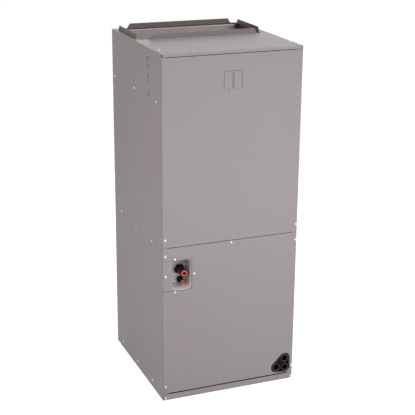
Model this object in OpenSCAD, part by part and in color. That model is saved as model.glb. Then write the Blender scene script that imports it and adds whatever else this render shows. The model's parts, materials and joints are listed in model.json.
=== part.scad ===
// Vertical air handler: sheet metal cabinet with a blower over an A-shaped coil.
// Origin: middle of the footprint, on the floor. +Z is up and the doors face -Y.

/* [Cabinet] */
// Width of the cabinet, left to right
cab_w = 533; // [520:1:560]
// Depth of the cabinet, door face to rear panel
cab_d = 568; // [560:1:600]
// Height of the cabinet without the duct collar
cab_h = 1307; // [1300:1:1340]
// Thickness of the cabinet sheet
sheet_t = 1; // [0.8:0.1:1.2]
// Width of the folds that stiffen the side sheets
fold_w = 20; // [18:1:22]
// Thickness of the insulation on the walls and doors
pad_t = 12; // [10:1:14]

/* [Doors] */
// Height of the seam between the two doors
seam_z = 607; // [604:1:612]
// Gap between two neighbouring door edges
door_gap = 2.5; // [1:0.5:3]
// Width of the folded-over hems along the door edges
hem_w = 10; // [8:1:10]
// Height of the front lip of the top panel
lip_h = 11; // [9:1:13]
// Height of the filter cover
strip_h = 24; // [22:1:25]
// Gap between the filter cover and the lower door
strip_gap = 4; // [3:1:5]
// Distance from the right edge at which the filter cover ends
strip_end = 14; // [12:1:14]
// Distance of the left door screws from the cabinet's left edge
screw_in_l = 9.3; // [8:0.1:10]
// Distance of the right door screws from the cabinet's right edge
screw_in_r = 5.5; // [5:0.1:6]

/* [Breaker knockouts] */
// Width of one breaker knockout
breaker_w = 34; // [30:1:36]
// Height of one breaker knockout
breaker_h = 66; // [60:1:70]
// Distance from the top of the cabinet down to the lower edge of the breaker knockouts
breaker_drop = 138; // [127:1:147]
// Width of a slit around a knockout
slit_w = 1.2; // [0.8:0.1:1.6]

/* [Supply outlet] */
// Distance from the door face to the front edge of the outlet
outlet_front = 300; // [290:1:310]
// Distance from the rear panel to the rear edge of the outlet
outlet_rear = 12; // [8:1:14]
// Distance from the left side to the outlet
outlet_left = 18; // [16:1:24]
// Distance from the right side to the outlet
outlet_right = 28; // [24:1:32]
// Height of the duct collar above the top panel
collar_h = 19; // [15:1:25]
// Length by which the front and rear collars stop short on the left
collar_trim_l = 38; // [20:1:45]
// Length by which the front and rear collars stop short on the right
collar_trim_r = 17; // [10:1:30]
// Length by which the side collars stop short at each end
collar_trim_s = 18; // [10:1:30]
// Length of the slanted end of each collar
collar_cut = 12; // [6:1:16]

/* [Line plate] */
// Width of the door notch that shows the line plate
notch_w = 113.5; // [112:0.5:118]
// Height of the lower edge of the door notch
notch_z = 438; // [430:1:445]
// Height of the door notch
notch_h = 118; // [116:1:122]
// Margin of the line plate that lies behind the door
plate_lap = 15; // [13:1:18]
// Width of the pocket in the line plate
pocket_w = 70; // [68:1:72]
// Height of the pocket in the line plate
pocket_h = 111; // [108:1:112]
// Distance from the cabinet's left edge to the pocket
pocket_x = 37.6; // [36:0.1:40]
// Corner radius of the pocket
pocket_r = 18; // [14:1:20]
// Depth of the pocket
pocket_d = 51; // [48:1:54]

/* [Refrigerant lines] */
// Outside diameter of the suction line
suction_od = 22.2; // [19:0.1:22.2]
// Outside diameter of the liquid line
liquid_od = 9.5; // [9.5:0.1:12.7]
// Wall of the copper tubes
tube_wall = 1.1; // [0.8:0.1:1.2]
// Distance of the suction stub from the cabinet's left edge
suction_x = 83; // [80:1:84]
// Distance of the liquid stub from the cabinet's left edge
liquid_x = 85; // [80:1:86]
// Height of the suction stub above the notch's lower edge
suction_rise = 64; // [62:1:68]
// Height of the liquid stub above the notch's lower edge
liquid_rise = 24; // [22:1:26]
// Distance from the door face back to the end of the suction stub
suction_back = 4; // [2:1:8]
// Distance from the door face back to the end of the liquid stub
liquid_back = 21; // [16:1:24]

/* [Drain] */
// Radius of the drain port bores
port_r = 12; // [11:0.5:13]
// Depth of the drain port bores
port_l = 20; // [16:1:22]
// Radius of the corners of the drain boss
boss_r = 20; // [19:0.5:20]
// Height of the drain pan's outer wall
pan_h = 54; // [45:1:58]
// Wall of the drain pan
pan_t = 3; // [2.5:0.5:4]

/* [Filter] */
// Distance from the cabinet's sides to the air filter
filter_side = 19; // [17:1:26]
// Distance from the rear panel to the air filter
filter_rear = 59; // [44:1:74]
// Thickness of the air filter
filter_t = 19; // [16:1:19]

/* [Coil] */
// Length of one coil slab along its slope
slab_l = 495; // [480:1:505]
// Thickness of one coil slab
slab_t = 44; // [38:1:44]
// Slope of the coil slabs from the vertical
slab_tilt = 17.4; // [17:0.1:17.8]
// Distance from the door face to the coil slabs
slab_front = 134; // [130:1:140]
// Distance from the rear panel to the coil slabs
slab_rear = 42; // [36:1:50]
// Outside diameter of the coil tubes
coil_od = 9.5; // [8:0.1:9.5]
// Distance between neighbouring coil tubes
coil_pitch = 25.4; // [24:0.1:27]

/* [Blower] */
// Radius of the blower wheel
wheel_r = 127; // [120:1:130]
// Length of the blower wheel along its shaft
wheel_l = 210; // [190:1:220]
// Depth of the blower wheel's blades
blade_d = 19; // [16:1:22]
// Number of blades around the wheel
blade_n = 40; // [32:1:44]
// Width of the blower housing along the shaft
scroll_w = 254; // [248:1:258]
// Radius of the housing where its spiral starts
scroll_r0 = 141; // [140:1:143]
// Radius of the housing where its spiral ends
scroll_r1 = 225; // [218:1:228]
// Radius of the housing's air inlets
inlet_r = 108; // [104:1:110]
// Radius of the motor shell
motor_r = 66; // [60:1:70]
// Length of the motor shell
motor_l = 128; // [124:1:134]
// Radius of the motor shaft
shaft_r = 6.35; // [6:0.05:7]

/* [Fasteners] */
// Diameter of the screw shanks
shank_d = 4.2; // [4:0.1:4.3]
// Length of the screw shanks
shank_l = 9; // [8:0.5:9.5]
// Diameter of the flange under a screw head
washer_d = 8.5; // [8:0.1:9]
// Width across the flats of a screw head
hex_af = 6.35; // [6:0.05:7]
// Height of a whole screw head
head_h = 4.5; // [4:0.1:5]

/* [Clearances] */
// Clearance between pieces that slide past each other
slide_gap = 0.3; // [0.2:0.1:0.5]
// Radial clearance of a screw in its hole
hole_gap = 0.1; // [0.05:0.05:0.15]
// Radial clearance of the shaft in the motor
shaft_gap = 0.05; // [0.02:0.01:0.08]
// Clearance around the drain boss in the door
boss_gap = 2; // [1.5:0.5:2.5]

/* [Hidden] */
$fn = 48;
hw = cab_w / 2;
hd = cab_d / 2;
yf = -hd;
cut = 0.5;

// Layers at the front: door sheet, door hem or line plate, side folds
hem_y = yf + sheet_t;
fold_y = yf + 2 * sheet_t + slide_gap;
side_h = cab_h - sheet_t;
in_x = hw - sheet_t;
in_y1 = hd - sheet_t;

// Rows of screws in the sides: height and the distances from the door face
control_h = 184;
deck_z = cab_h - control_h;
divider_z = 591;
shelf_flange = 20;
row_mid = shelf_flange / 2;
rail_screw_z = 31;
top_row = [49, hd + 8, cab_d - 36];
mid_row = [109, hd + 7, cab_d - 94];
low_row = [114, hd + 9, cab_d - 86];
rear_rows = [60, 450, 850, cab_h - 57];
top_screw_in = 17.4;
top_screw_y = 74;

// Knockouts in the sides: distance below the cabinet's top, and radius
knock_y = 135;
knockouts = [[52, 20], [108, 14], [161, 9]];
knock_bridge = 4;
knock_slit = 1.6;
knock_shift = 0.9;

// Doors
lip_gap = 2;
door_in = 0.5;
upper_z0 = seam_z + door_gap / 2;
upper_z1 = cab_h - lip_h - lip_gap;
lower_z0 = strip_h + strip_gap;
lower_z1 = seam_z - door_gap / 2;
breaker_x = -36.5;
breaker_z = cab_h - breaker_drop;
breaker_space = 3;
breaker_dot_r = 2;
upper_screw_z = 31;
lower_screw_z = 29;
mid_screw_z = divider_z + row_mid - 1;
foot_screw_z = 56;
strip_screw_z = 8;
strip_return = 8;
plate_screw_top = [47, 5];
plate_screw_low = [47, 4];
plate_screw_right = [7.5, 59];
plate_screw_left = [11, 60];

// Line plate, stubs and plugs
plate_y = fold_y - sheet_t;
plate_edge = -hw + door_in;
pocket_z = notch_z + 4;
pocket_cx = -hw + pocket_x + pocket_w / 2;
pocket_cz = pocket_z + pocket_h / 2;
pocket_back = plate_y + pocket_d;
suction_p = [-hw + suction_x, notch_z + suction_rise];
liquid_p = [-hw + liquid_x, notch_z + liquid_rise];
suction_end = yf + suction_back;
liquid_end = yf + liquid_back;
grommet_lip = 8.2;
grommet_front = 4;
grommet_rear = 3;
boot_wall = 3;
suction_boot = 22;
liquid_boot = 10;
wall_hole = [8, 6, 2.5];
plug_head = 5;
suction_head_r = 11.6;
liquid_head_r = 7.8;
plug_lobes = 6;
plug_gap = 0.1;

// Front end of a grommet's boot
function boot_y(boot) = pocket_back - sheet_t - grommet_front - boot;

// Drain pan and boss: ports given from the right edge, and by height
ports = [[hw - 34, 90], [hw - 68, 56], [hw - 32, 52]];
boss_ring = 17;
boss_recess = 6;
boss_wall = 4;
boss_steps = 16;
rail_z = 24.5;
rail_w = 21;
pan_z = rail_z + sheet_t;
pan_hw = in_x - shank_l - 1.5;
pan_y0 = yf + 22;
pan_y1 = hd - 29;
pan_hole_x = 132;
pan_hole_y0 = yf + 112;
pan_hole_y1 = hd - 46;
pan_inner_h = 36;
pan_rib_h = 6;
weir_r = 7;

// Base, filter rack and filter
base_in = 40;
base_y0 = yf + 10;
filter_y0 = yf + 14;
filter_z0 = sheet_t + slide_gap;
filter_w = cab_w - 2 * filter_side;
filter_l = hd - filter_rear - filter_y0;
rack_in = filter_w / 2 + 1;
media_pleats = 24;
frame_wall = 12;
rail_lip = 4;
base_margin = 20;

// Shelves between the spaces: their air openings and the front lip of the divider
air_side = 42;
air_front = yf + 95;
air_rear = hd - 35;
divider_lip = 33;
flange_notch = 14;

// Rows of wall insulation, low and high edge: the blower space and the coil space
pad_gap = 4;
pad_foot = 34;
pad_rows = [[divider_z + shelf_flange + pad_gap, deck_z - pad_gap],
            [pan_z + pan_h + pad_foot, divider_z - pad_gap]];

// Coil slabs
slab_y0 = yf + slab_front;
slab_y1 = hd - slab_rear;
slab_len = slab_y1 - slab_y0;
slab_foot_z = pan_z + pan_t + pan_rib_h;
slab_x = 175;
slab_z = slab_foot_z + slab_t / 2 * sin(slab_tilt);
row_in = 11;
bend_in = 8;
bend_foot = 28;
bend_rows = floor((slab_l - bend_foot) / (2 * coil_pitch));
header_y = slab_y0 - 42;
header_low = 118;
size_step = 0.6;
suction_gaps = [2, 4, 6];
feeder_gaps = [1, 3, 5];
feeder_r = 2.4;
feeder_ring = 6;
feeder_bend = 8;
feeder_turn = [[191, 131, 71], [251, 311, 11]];
valve_x = -112;
valve_y = yf + 72;
valve_z = 430;
valve_drop = 44;
valve_top = 26;

// Blower
scroll_y = hd - 249;
scroll_z = deck_z - 235;
scroll_a0 = 70;
scroll_t = 1.2;
scroll_steps = 36;
scroll_flange = 14;
hanger_in = 20;
outlet_y1 = scroll_y + scroll_r1;
outlet_y0 = scroll_y + scroll_r0 * cos(scroll_a0);
hanger_screws = [for (s = [-1, 1], y = [outlet_y0 + hanger_in, outlet_y1 - hanger_in])
    [s * (scroll_w + scroll_flange) / 2, y]];
hub_r = 18;
hub_l = 28;
ring_l = 4;
mid_t = 2;
motor_x = 30;
bell_r = 22;
bell_l = 8;
vent_ring = 44;
vent_r = 6;
shaft_start = -24;
shaft_end = 66;
ring_lip = 3;
ring_w = 12;
band_x = scroll_w / 2 + scroll_t + ring_lip;
arm_hole = inlet_r + ring_w / 2;
band_w = 14;
band_t = 2;
arm_t = 3;
arm_w = 16;
arm_n = 3;

// Control compartment
control_y = yf + 175;
control_hw = in_x - 1;
board_gap = 12;
board_x = -control_hw + 24.5;
board_rise = 34;
relay_x = control_hw - 32.5;
cap_x = -control_hw + 94.5;
cap_z = deck_z + 150;
cap_r = 15;
cap_l = 80;
cap_y = control_y - cap_r - 1.5;

// Heater opening in the control panel: half width, height above the deck, and the cover's lap
heater_hw = 75;
heater_rise = 30;
heater_z = deck_z + heater_rise;
heater_h = 100;
cover_lap = [23, 10];
transformer_x = heater_hw + cover_lap[0] + 59;
terminal_x = heater_hw + cover_lap[0] + 22;
cover_screws = [for (s = [-1, 1], z = [10, heater_h - 10]) [s * (heater_hw + 13), heater_z + z]];

// Block between two corners
module block(low, high) {
    translate(low) cube(high - low);
}

// Cylinder along +Y, +X or +Z from a point
module rod_y(p, r, l) {
    translate(p) rotate([-90, 0, 0]) cylinder(r = r, h = l);
}

module rod_x(p, r, l) {
    translate(p) rotate([0, 90, 0]) cylinder(r = r, h = l);
}

module rod_z(p, r, l) {
    translate(p) cylinder(r = r, h = l);
}

// Clearance hole for a screw, through whatever lies within one head of the point
module hole_y(x, z, y) {
    rod_y([x, y - head_h, z], shank_d / 2 + hole_gap, 2 * head_h);
}

module hole_x(x, y, z) {
    rod_x([x - head_h, y, z], shank_d / 2 + hole_gap, 2 * head_h);
}

module hole_z(x, y, z) {
    rod_z([x, y, z - head_h], shank_d / 2 + hole_gap, 2 * head_h);
}

// Hex washer head screw: head above z = 0, shank below
module screw() {
    washer_h = 1;
    translate([0, 0, -shank_l]) cylinder(d = shank_d, h = shank_l + cut);
    cylinder(d = washer_d, h = washer_h);
    cylinder(d = hex_af / cos(30), h = head_h, $fn = 6);
}

// Screw with its head towards -Y, +Y, -X, +X or +Z
module screw_front(x, z, y) {
    translate([x, y, z]) rotate([90, 0, 0]) screw();
}

module screw_rear(x, z, y) {
    translate([x, y, z]) rotate([-90, 0, 0]) screw();
}

module screw_side(s, y, z) {
    translate([s * hw, y, z]) rotate([0, s * 90, 0]) screw();
}

// Outline of a rectangle with round corners, centred
module round_rect(w, h, r) {
    square([w - 2 * r, h], center = true);
    square([w, h - 2 * r], center = true);
    for (sx = [-1, 1], sz = [-1, 1])
        translate([sx * (w / 2 - r), sz * (h / 2 - r)]) circle(r);
}

// Outline drawn in X and Z, made solid from y0 to y1
module solid_y(y0, y1) {
    translate([0, y1, 0]) rotate([90, 0, 0]) linear_extrude(y1 - y0) children();
}

// Outline drawn in Y and Z, made solid from x0 to x1
module solid_x(x0, x1) {
    translate([x0, 0, 0]) rotate([90, 0, 90]) linear_extrude(x1 - x0) children();
}

// Side sheet with its folds, drawn as the left side
module side_sheet() {
    difference() {
        union() {
            block([-hw, fold_y, 0], [-in_x, in_y1, side_h]);
            block([-hw, fold_y, 0], [-in_x + fold_w, fold_y + sheet_t, side_h]);
            block([-hw, in_y1 - sheet_t, 0], [-in_x + fold_w, in_y1, side_h]);
            block([-hw, fold_y, side_h - sheet_t], [-in_x + fold_w, in_y1, side_h]);
        }
        // The front fold is narrowed where the filter slides out
        block([-rack_in, fold_y - cut, -1],
              [-in_x + fold_w + cut, fold_y + sheet_t + cut, rail_z - slide_gap]);
        side_holes(-hw);
        for (k = knockouts) knockout(cab_h - k[0], k[1]);
        for (z = rear_rows) hole_y(-hw + screw_in_l, z, in_y1);
        hole_z(-hw + top_screw_in, yf + top_screw_y, side_h);
    }
}

// Holes for the three rows of screws in one side
module side_holes(x) {
    for (y = top_row) hole_x(x, yf + y, deck_z + row_mid);
    for (y = mid_row) hole_x(x, yf + y, divider_z + row_mid);
    for (y = low_row) hole_x(x, yf + y, rail_screw_z);
}

// Ring slit of a round knockout, wider at the rear, held by a bridge at the top and one at the foot
module knockout(z, r) {
    difference() {
        rod_x([-hw - cut, yf + knock_y, z], r, sheet_t + 2 * cut);
        rod_x([-hw - 1, yf + knock_y - knock_shift, z], r - knock_slit, sheet_t + 2);
        block([-hw - 1, yf + knock_y - knock_bridge / 2, z - r - 1],
              [-in_x + 1, yf + knock_y + knock_bridge / 2, z + r + 1]);
    }
}

module left_side() {
    color("#928a8c") difference() {
        side_sheet();
        hole_y(-hw + screw_in_l, upper_z0 + upper_screw_z - 1, fold_y);
        hole_y(-hw + screw_in_l, lower_z1 - lower_screw_z, fold_y);
        hole_y(-hw + screw_in_l, foot_screw_z, fold_y);
        hole_y(-hw + plate_screw_left[0], notch_z + plate_screw_left[1], fold_y);
        hole_y(-hw + screw_in_l, strip_screw_z, fold_y);
    }
}

module right_side() {
    color("#928a8c") difference() {
        mirror([1, 0, 0]) side_sheet();
        hole_y(hw - screw_in_r, upper_z0 + upper_screw_z - 1, fold_y);
        hole_y(hw - screw_in_r, lower_z1 - lower_screw_z, fold_y);
        hole_y(hw - screw_in_r, foot_screw_z, fold_y);
        hole_y(hw - screw_in_r, strip_screw_z, fold_y);
        // The front fold is cut back where the drain boss passes
        block([in_x - fold_w - cut, fold_y - cut, ports[2][1] - boss_r - boss_gap],
              [ports[2][0] + boss_r + boss_gap, fold_y + sheet_t + cut,
               ports[0][1] + boss_r + boss_gap]);
    }
}

module rear_panel() {
    color("#8a8284") difference() {
        block([-hw, in_y1, 0], [hw, hd, side_h]);
        for (z = rear_rows, s = [-1, 1]) hole_y(s * (hw - screw_in_l), z, hd);
    }
}

// Collar along X: its length shrinks towards the top
module collar_x(x0, x1, y) {
    solid_y(y, y + sheet_t) polygon([
        [x0, cab_h - cut], [x1, cab_h - cut], [x1, cab_h],
        [x1 - collar_cut, cab_h + collar_h], [x0 + collar_cut, cab_h + collar_h], [x0, cab_h]]);
}

// Collar along Y
module collar_y(y0, y1, x) {
    solid_x(x, x + sheet_t) polygon([
        [y0, cab_h - cut], [y1, cab_h - cut], [y1, cab_h],
        [y1 - collar_cut, cab_h + collar_h], [y0 + collar_cut, cab_h + collar_h], [y0, cab_h]]);
}

module top_panel() {
    x0 = -hw + outlet_left;
    x1 = hw - outlet_right;
    y0 = yf + outlet_front;
    y1 = hd - outlet_rear;
    lip_in = sheet_t + 2.6;
    color("#adaaae") {
        difference() {
            union() {
                block([-hw, yf, side_h], [hw, hd, cab_h]);
                block([-hw + lip_in, yf, cab_h - lip_h], [hw - lip_in, yf + sheet_t, cab_h]);
            }
            block([x0, y0, side_h - 1], [x1, y1, cab_h + 1]);
            for (s = [-1, 1]) hole_z(s * (hw - top_screw_in), yf + top_screw_y, cab_h);
        }
        collar_x(x0 + collar_trim_l, x1 - collar_trim_r, y0 - sheet_t);
        collar_x(x0 + collar_trim_l, x1 - collar_trim_r, y1);
        collar_y(y0 + collar_trim_s, y1 - collar_trim_s, x0 - sheet_t);
        collar_y(y0 + collar_trim_s, y1 - collar_trim_s, x1);
    }
}

module base_pan() {
    color("#a9acb0") difference() {
        union() {
            block([-in_x, base_y0, 0], [in_x, in_y1 - sheet_t, sheet_t]);
            block([-in_x + fold_w + 1, in_y1 - sheet_t, 0],
                  [in_x - fold_w - 1, in_y1, shelf_flange]);
        }
        block([-hw + base_in, filter_y0 + base_margin, -1],
              [hw - base_in, filter_y0 + filter_l - base_margin, sheet_t + 1]);
    }
}

// Shelf across the cabinet: a sheet with raised flanges at the sides and the rear
module shelf(z) {
    block([-in_x, fold_y + sheet_t, z], [in_x, in_y1 - sheet_t, z + sheet_t]);
    for (s = [-1, 1]) translate([s * (in_x - sheet_t / 2), 0, 0])
        block([-sheet_t / 2, fold_y + sheet_t, z],
              [sheet_t / 2, in_y1 - sheet_t, z + shelf_flange]);
    block([-in_x + fold_w + 1, in_y1 - 2 * sheet_t, z],
          [in_x - fold_w - 1, in_y1 - sheet_t, z + shelf_flange]);
}

module coil_divider() {
    color("#928a8c") difference() {
        union() {
            shelf(divider_z);
            block([-in_x + fold_w + 1, fold_y, divider_z],
                  [in_x - fold_w - 1, fold_y + sheet_t, divider_z + divider_lip]);
            block([-in_x + fold_w + 1, fold_y, divider_z],
                  [in_x - fold_w - 1, fold_y + 2 * sheet_t, divider_z + sheet_t]);
        }
        block([-hw + air_side, air_front, divider_z - 1], [hw - air_side, air_rear, divider_z + 2]);
        side_holes(-hw);
        side_holes(hw);
        hole_y(0, mid_screw_z, fold_y);
    }
}

module blower_deck() {
    color("#a9acb0") difference() {
        shelf(deck_z);
        block([-scroll_w / 2, outlet_y0, deck_z - 1],
              [scroll_w / 2, outlet_y1 - scroll_t, deck_z + 2]);
        side_holes(-hw);
        side_holes(hw);
        // The flange is notched behind the lowest knockout
        block([-hw, yf + knock_y - flange_notch, deck_z + 2],
              [hw, yf + knock_y + flange_notch, deck_z + shelf_flange + 1]);
        for (p = hanger_screws) hole_z(p[0], p[1], deck_z);
    }
}

// Wall pads: one for the blower space and one for the coil space
module wall_pads(s) {
    y0 = plate_y + shank_l + 1;
    y1 = in_y1 - 3 * sheet_t - pad_t;
    for (z = pad_rows)
        translate([s * (in_x - pad_t / 2), 0, 0])
            block([-pad_t / 2, y0, z[0]], [pad_t / 2, y1, z[1]]);
}

module left_insulation() {
    color("#c9c9c6") wall_pads(-1);
}

module right_insulation() {
    color("#c9c9c6") wall_pads(1);
}

// Pads on the rear panel, also above the blower deck
module rear_insulation() {
    y1 = in_y1 - 2 * sheet_t;
    high_row = [deck_z + shelf_flange + pad_gap, side_h - pad_gap];
    color("#c9c9c6")
    for (z = concat(pad_rows, [high_row]))
        block([-in_x + fold_w + 2, y1 - pad_t, z[0]], [in_x - fold_w - 2, y1 + 2 * sheet_t, z[1]]);
}

// Filter rail, drawn as the left one: wall web, shelf for the drain pan and a guide leg
module filter_rail() {
    y0 = filter_y0;
    y1 = in_y1 - sheet_t;
    difference() {
        union() {
            block([-in_x, y0, sheet_t], [-in_x + sheet_t, y1, rail_screw_z + row_mid]);
            block([-in_x, y0, rail_z], [-rack_in + rail_lip, y1, rail_z + sheet_t]);
            block([-rack_in - sheet_t, y0, sheet_t], [-rack_in, y1, rail_z + sheet_t]);
        }
        for (y = low_row) hole_x(-in_x, yf + y, rail_screw_z);
    }
}

module filter_rail_left() {
    color("#a9acb0") filter_rail();
}

module filter_rail_right() {
    color("#a9acb0") mirror([1, 0, 0]) filter_rail();
}

// Outline of the drain boss, grown by g: straight sides, and an arc round each port
function side_angle(i) =
    let (d = ports[(i + 1) % 3] - ports[i % 3]) atan2(d[1], d[0]);
function corner_turn(i) = (side_angle(i) - side_angle(i + 2) + 360) % 360;
function boss_points(r) = [
    for (i = [0:2], k = [0:boss_steps])
        let (t = side_angle(i + 2) - 90 + corner_turn(i) * k / boss_steps)
        ports[i] + r * [cos(t), sin(t)]];

module boss_outline(g) {
    polygon(boss_points(boss_r + g));
}

module drain_pan() {
    z1 = pan_z + pan_h;
    inner = pan_z + pan_t;
    color("#222226") difference() {
        union() {
            difference() {
                union() {
                    block([-pan_hw, pan_y0, pan_z], [pan_hw, pan_y1, inner]);
                    block([-pan_hw, pan_y0, pan_z], [pan_hw, pan_y1, z1]);
                }
                block([-pan_hw + pan_t, pan_y0 + pan_t, inner],
                      [pan_hw - pan_t, pan_y1 - pan_t, z1 + 1]);
            }
            // Raised wall around the air opening
            difference() {
                block([-pan_hole_x - pan_t, pan_hole_y0 - pan_t, pan_z],
                      [pan_hole_x + pan_t, pan_hole_y1 + pan_t, pan_z + pan_inner_h]);
                block([-pan_hole_x, pan_hole_y0, pan_z - 1],
                      [pan_hole_x, pan_hole_y1, z1]);
            }
            // Ribs that carry the coil slabs
            for (s = [-1, 1], y = [0.1, 0.35, 0.65, 0.9])
                translate([s * (pan_hw + pan_hole_x) / 2, slab_y0 + y * slab_len, 0])
                    block([-(pan_hw - pan_hole_x) / 2 + 1, -2, pan_z],
                          [(pan_hw - pan_hole_x) / 2 - 1, 2, slab_foot_z]);
            solid_y(yf, pan_y0 + pan_t) boss_outline(0);
        }
        block([-pan_hole_x, pan_hole_y0, pan_z - 1], [pan_hole_x, pan_hole_y1, z1]);
        // Recessed web between the port rings
        solid_y(yf - 1, yf + boss_recess) difference() {
            boss_outline(-boss_wall);
            for (p = ports) translate(p) circle(boss_ring);
        }
        for (p = ports) {
            rod_y([p[0], yf - 1, p[1]], port_r, port_l + 1);
            rod_y([p[0], yf - 1, p[1]], weir_r, 2 * port_l + 1);
        }
    }
}

// Place of a coil slab: its foot in the pan, leaning to the middle
module on_slab(s) {
    translate([s * slab_x, 0, slab_z]) rotate([0, -s * slab_tilt, 0]) children();
}

module coil_slab(s) {
    on_slab(s) block([-slab_t / 2, slab_y0 + sheet_t, 0], [slab_t / 2, slab_y1 - sheet_t, slab_l]);
}

module coil_slab_left() {
    color("#c3c7ca") coil_slab(-1);
}

module coil_slab_right() {
    color("#c3c7ca") coil_slab(1);
}

module coil_tube_sheets() {
    color("#a9acb0")
    for (s = [-1, 1], y = [slab_y0, slab_y1 - sheet_t])
        on_slab(s) block([-slab_t / 2 - 2, y, 0.5], [slab_t / 2 - 1, y + sheet_t, slab_l - 1]);
}

// Half turns that join neighbouring coil tubes in front of the slabs
module return_bends() {
    color("#b8703f")
    for (s = [-1, 1], row = [-row_in, row_in], i = [0:bend_rows - 1])
        on_slab(s) translate([row, slab_y0, bend_foot + (2 * i + 0.5) * coil_pitch]) {
            translate([0, -bend_in, 0]) rotate([0, 90, 180])
                rotate_extrude(angle = 180) translate([coil_pitch / 2, 0]) circle(coil_od / 2, $fn = 20);
            for (z = [-1, 1]) rod_y([0, -bend_in, z * coil_pitch / 2], coil_od / 2, bend_in);
        }
}

// Distance along a slab to the free strip above return bend i, and its place in X and Z
function gap_l(i) = bend_foot + (2 * i + 1.5) * coil_pitch;
function gap_at(s, i) = [s * (slab_x - gap_l(i) * sin(slab_tilt)), slab_z + gap_l(i) * cos(slab_tilt)];

// Inner face of a slab: half the air gap at a height above the slab's foot
function inner_x(z) = slab_x - slab_t / 2 / cos(slab_tilt) - (z - slab_z) * tan(slab_tilt);

module delta_plate(y) {
    lap = 6;
    z0 = pan_z + pan_inner_h;
    z1 = slab_z + slab_l * cos(slab_tilt) - 2 * lap;
    solid_y(y, y + sheet_t) polygon([
        [-inner_x(z0) - lap, z0], [inner_x(z0) + lap, z0],
        [inner_x(z1) + lap, z1], [-inner_x(z1) - lap, z1]]);
}

module coil_front_plate() {
    color("#a9acb0") delta_plate(slab_y0 - sheet_t);
}

module coil_rear_plate() {
    color("#a9acb0") delta_plate(slab_y1);
}

// Cap over the ridge where the slabs meet
module coil_top_cap() {
    top = slab_z + slab_l * cos(slab_tilt) + slab_t / 2 * sin(slab_tilt);
    half = slab_x - slab_l * sin(slab_tilt) + slab_t / 2 * cos(slab_tilt) - 2;
    color("#a9acb0") block([-half, slab_y0, top], [half, slab_y1, top + sheet_t]);
}

// Stub that is sized at its free end, where the boot and the field tube meet, and open there
module stub(p, r, y0, y_sized, y1) {
    difference() {
        union() {
            rod_y([p[0], y0, p[1]], r, y_sized - y0);
            rod_y([p[0], y_sized - cut, p[1]], r - size_step, y1 - y_sized + cut);
        }
        rod_y([p[0], y0 - 1, p[1]], r - tube_wall, 30);
    }
}

// Quarter turn of a tube: from the origin along +Y it bends to +Z
module quarter(r, b) {
    translate([0, 0, b]) rotate([0, 90, 0]) rotate_extrude(angle = 90) translate([b, 0]) circle(r);
}

module suction_line() {
    r = suction_od / 2;
    ri = r - size_step;
    b = suction_od;
    x = suction_p[0];
    z = suction_p[1];
    color("#b8703f") {
        stub(suction_p, r, suction_end, boot_y(suction_boot), header_y - b);
        translate([x, header_y - b, z]) mirror([0, 0, 1]) quarter(ri, b);
        rod_z([x, header_y, header_low + b], ri, z - header_low - 2 * b);
        translate([x + b, header_y, header_low]) rotate([0, 0, 90]) quarter(ri, b);
        rod_x([x + b, header_y, header_low], ri, 2 * abs(x) - b);
        for (i = suction_gaps) {
            left = gap_at(-1, i);
            right = gap_at(1, i);
            rod_x([x, header_y, left[1]], coil_od / 2, left[0] - x);
            rod_z([right[0], header_y, header_low], coil_od / 2, right[1] - header_low);
            for (p = [left, right]) {
                rod_y([p[0], header_y, p[1]], coil_od / 2, slab_y0 - header_y);
                translate([p[0], header_y, p[1]]) sphere(coil_od / 2);
            }
        }
    }
}

module liquid_line() {
    r = liquid_od / 2;
    x = liquid_p[0];
    z = liquid_p[1];
    color("#b8703f") {
        stub(liquid_p, r, liquid_end, boot_y(liquid_boot), valve_y);
        translate([x, valve_y, z]) sphere(r);
        rod_x([x, valve_y, z], r, valve_x - x);
        translate([valve_x, valve_y, z]) sphere(r);
        rod_z([valve_x, valve_y, valve_z + valve_top], r, z - valve_z - valve_top);
    }
}

// Valve body with its diaphragm head to the left, a union nut above and the distributor below
module expansion_valve() {
    body = [11, 14, 30];
    nut = [9, valve_top - 12];
    neck = [8, 34];
    head = [19, 8];
    distributor_r = 10;
    color("#c9a35a") translate([valve_x, valve_y, valve_z]) {
        rod_z([0, 0, -body[1]], body[0], body[2]);
        translate([0, 0, valve_top - nut[1]]) cylinder(r = nut[0], h = nut[1], $fn = 6);
        rod_x([-neck[1], 0, 0], neck[0], neck[1]);
        rod_x([-neck[1] - head[1], 0, 0], head[0], head[1]);
        translate([0, 0, -valve_drop]) cylinder(r = distributor_r, h = valve_drop - 12, $fn = 6);
    }
}

// Thin feeders that fan out from a ring under the distributor to a short tube of each slab
module distributor_tubes() {
    color("#b8703f") for (side = [0, 1], k = [0:len(feeder_gaps) - 1]) {
        end = gap_at(2 * side - 1, feeder_gaps[k]);
        t = feeder_turn[side][k];
        a = [valve_x + feeder_ring * cos(t), valve_y + feeder_ring * sin(t), end[1]];
        b = [end[0], slab_y0 - bend_in, end[1]];
        d = b - a;
        translate(a) rotate([0, 0, atan2(d[1], d[0])]) {
            rod_z([0, 0, feeder_bend], feeder_r, valve_z - valve_drop - feeder_bend - a[2]);
            translate([feeder_bend, 0, 0]) rotate([0, 0, 90]) quarter(feeder_r, feeder_bend);
            rod_x([feeder_bend, 0, 0], feeder_r, norm(d) - feeder_bend);
        }
        rod_y(b - [0, coil_od, 0], coil_od / 2, bend_in + coil_od);
    }
}

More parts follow.
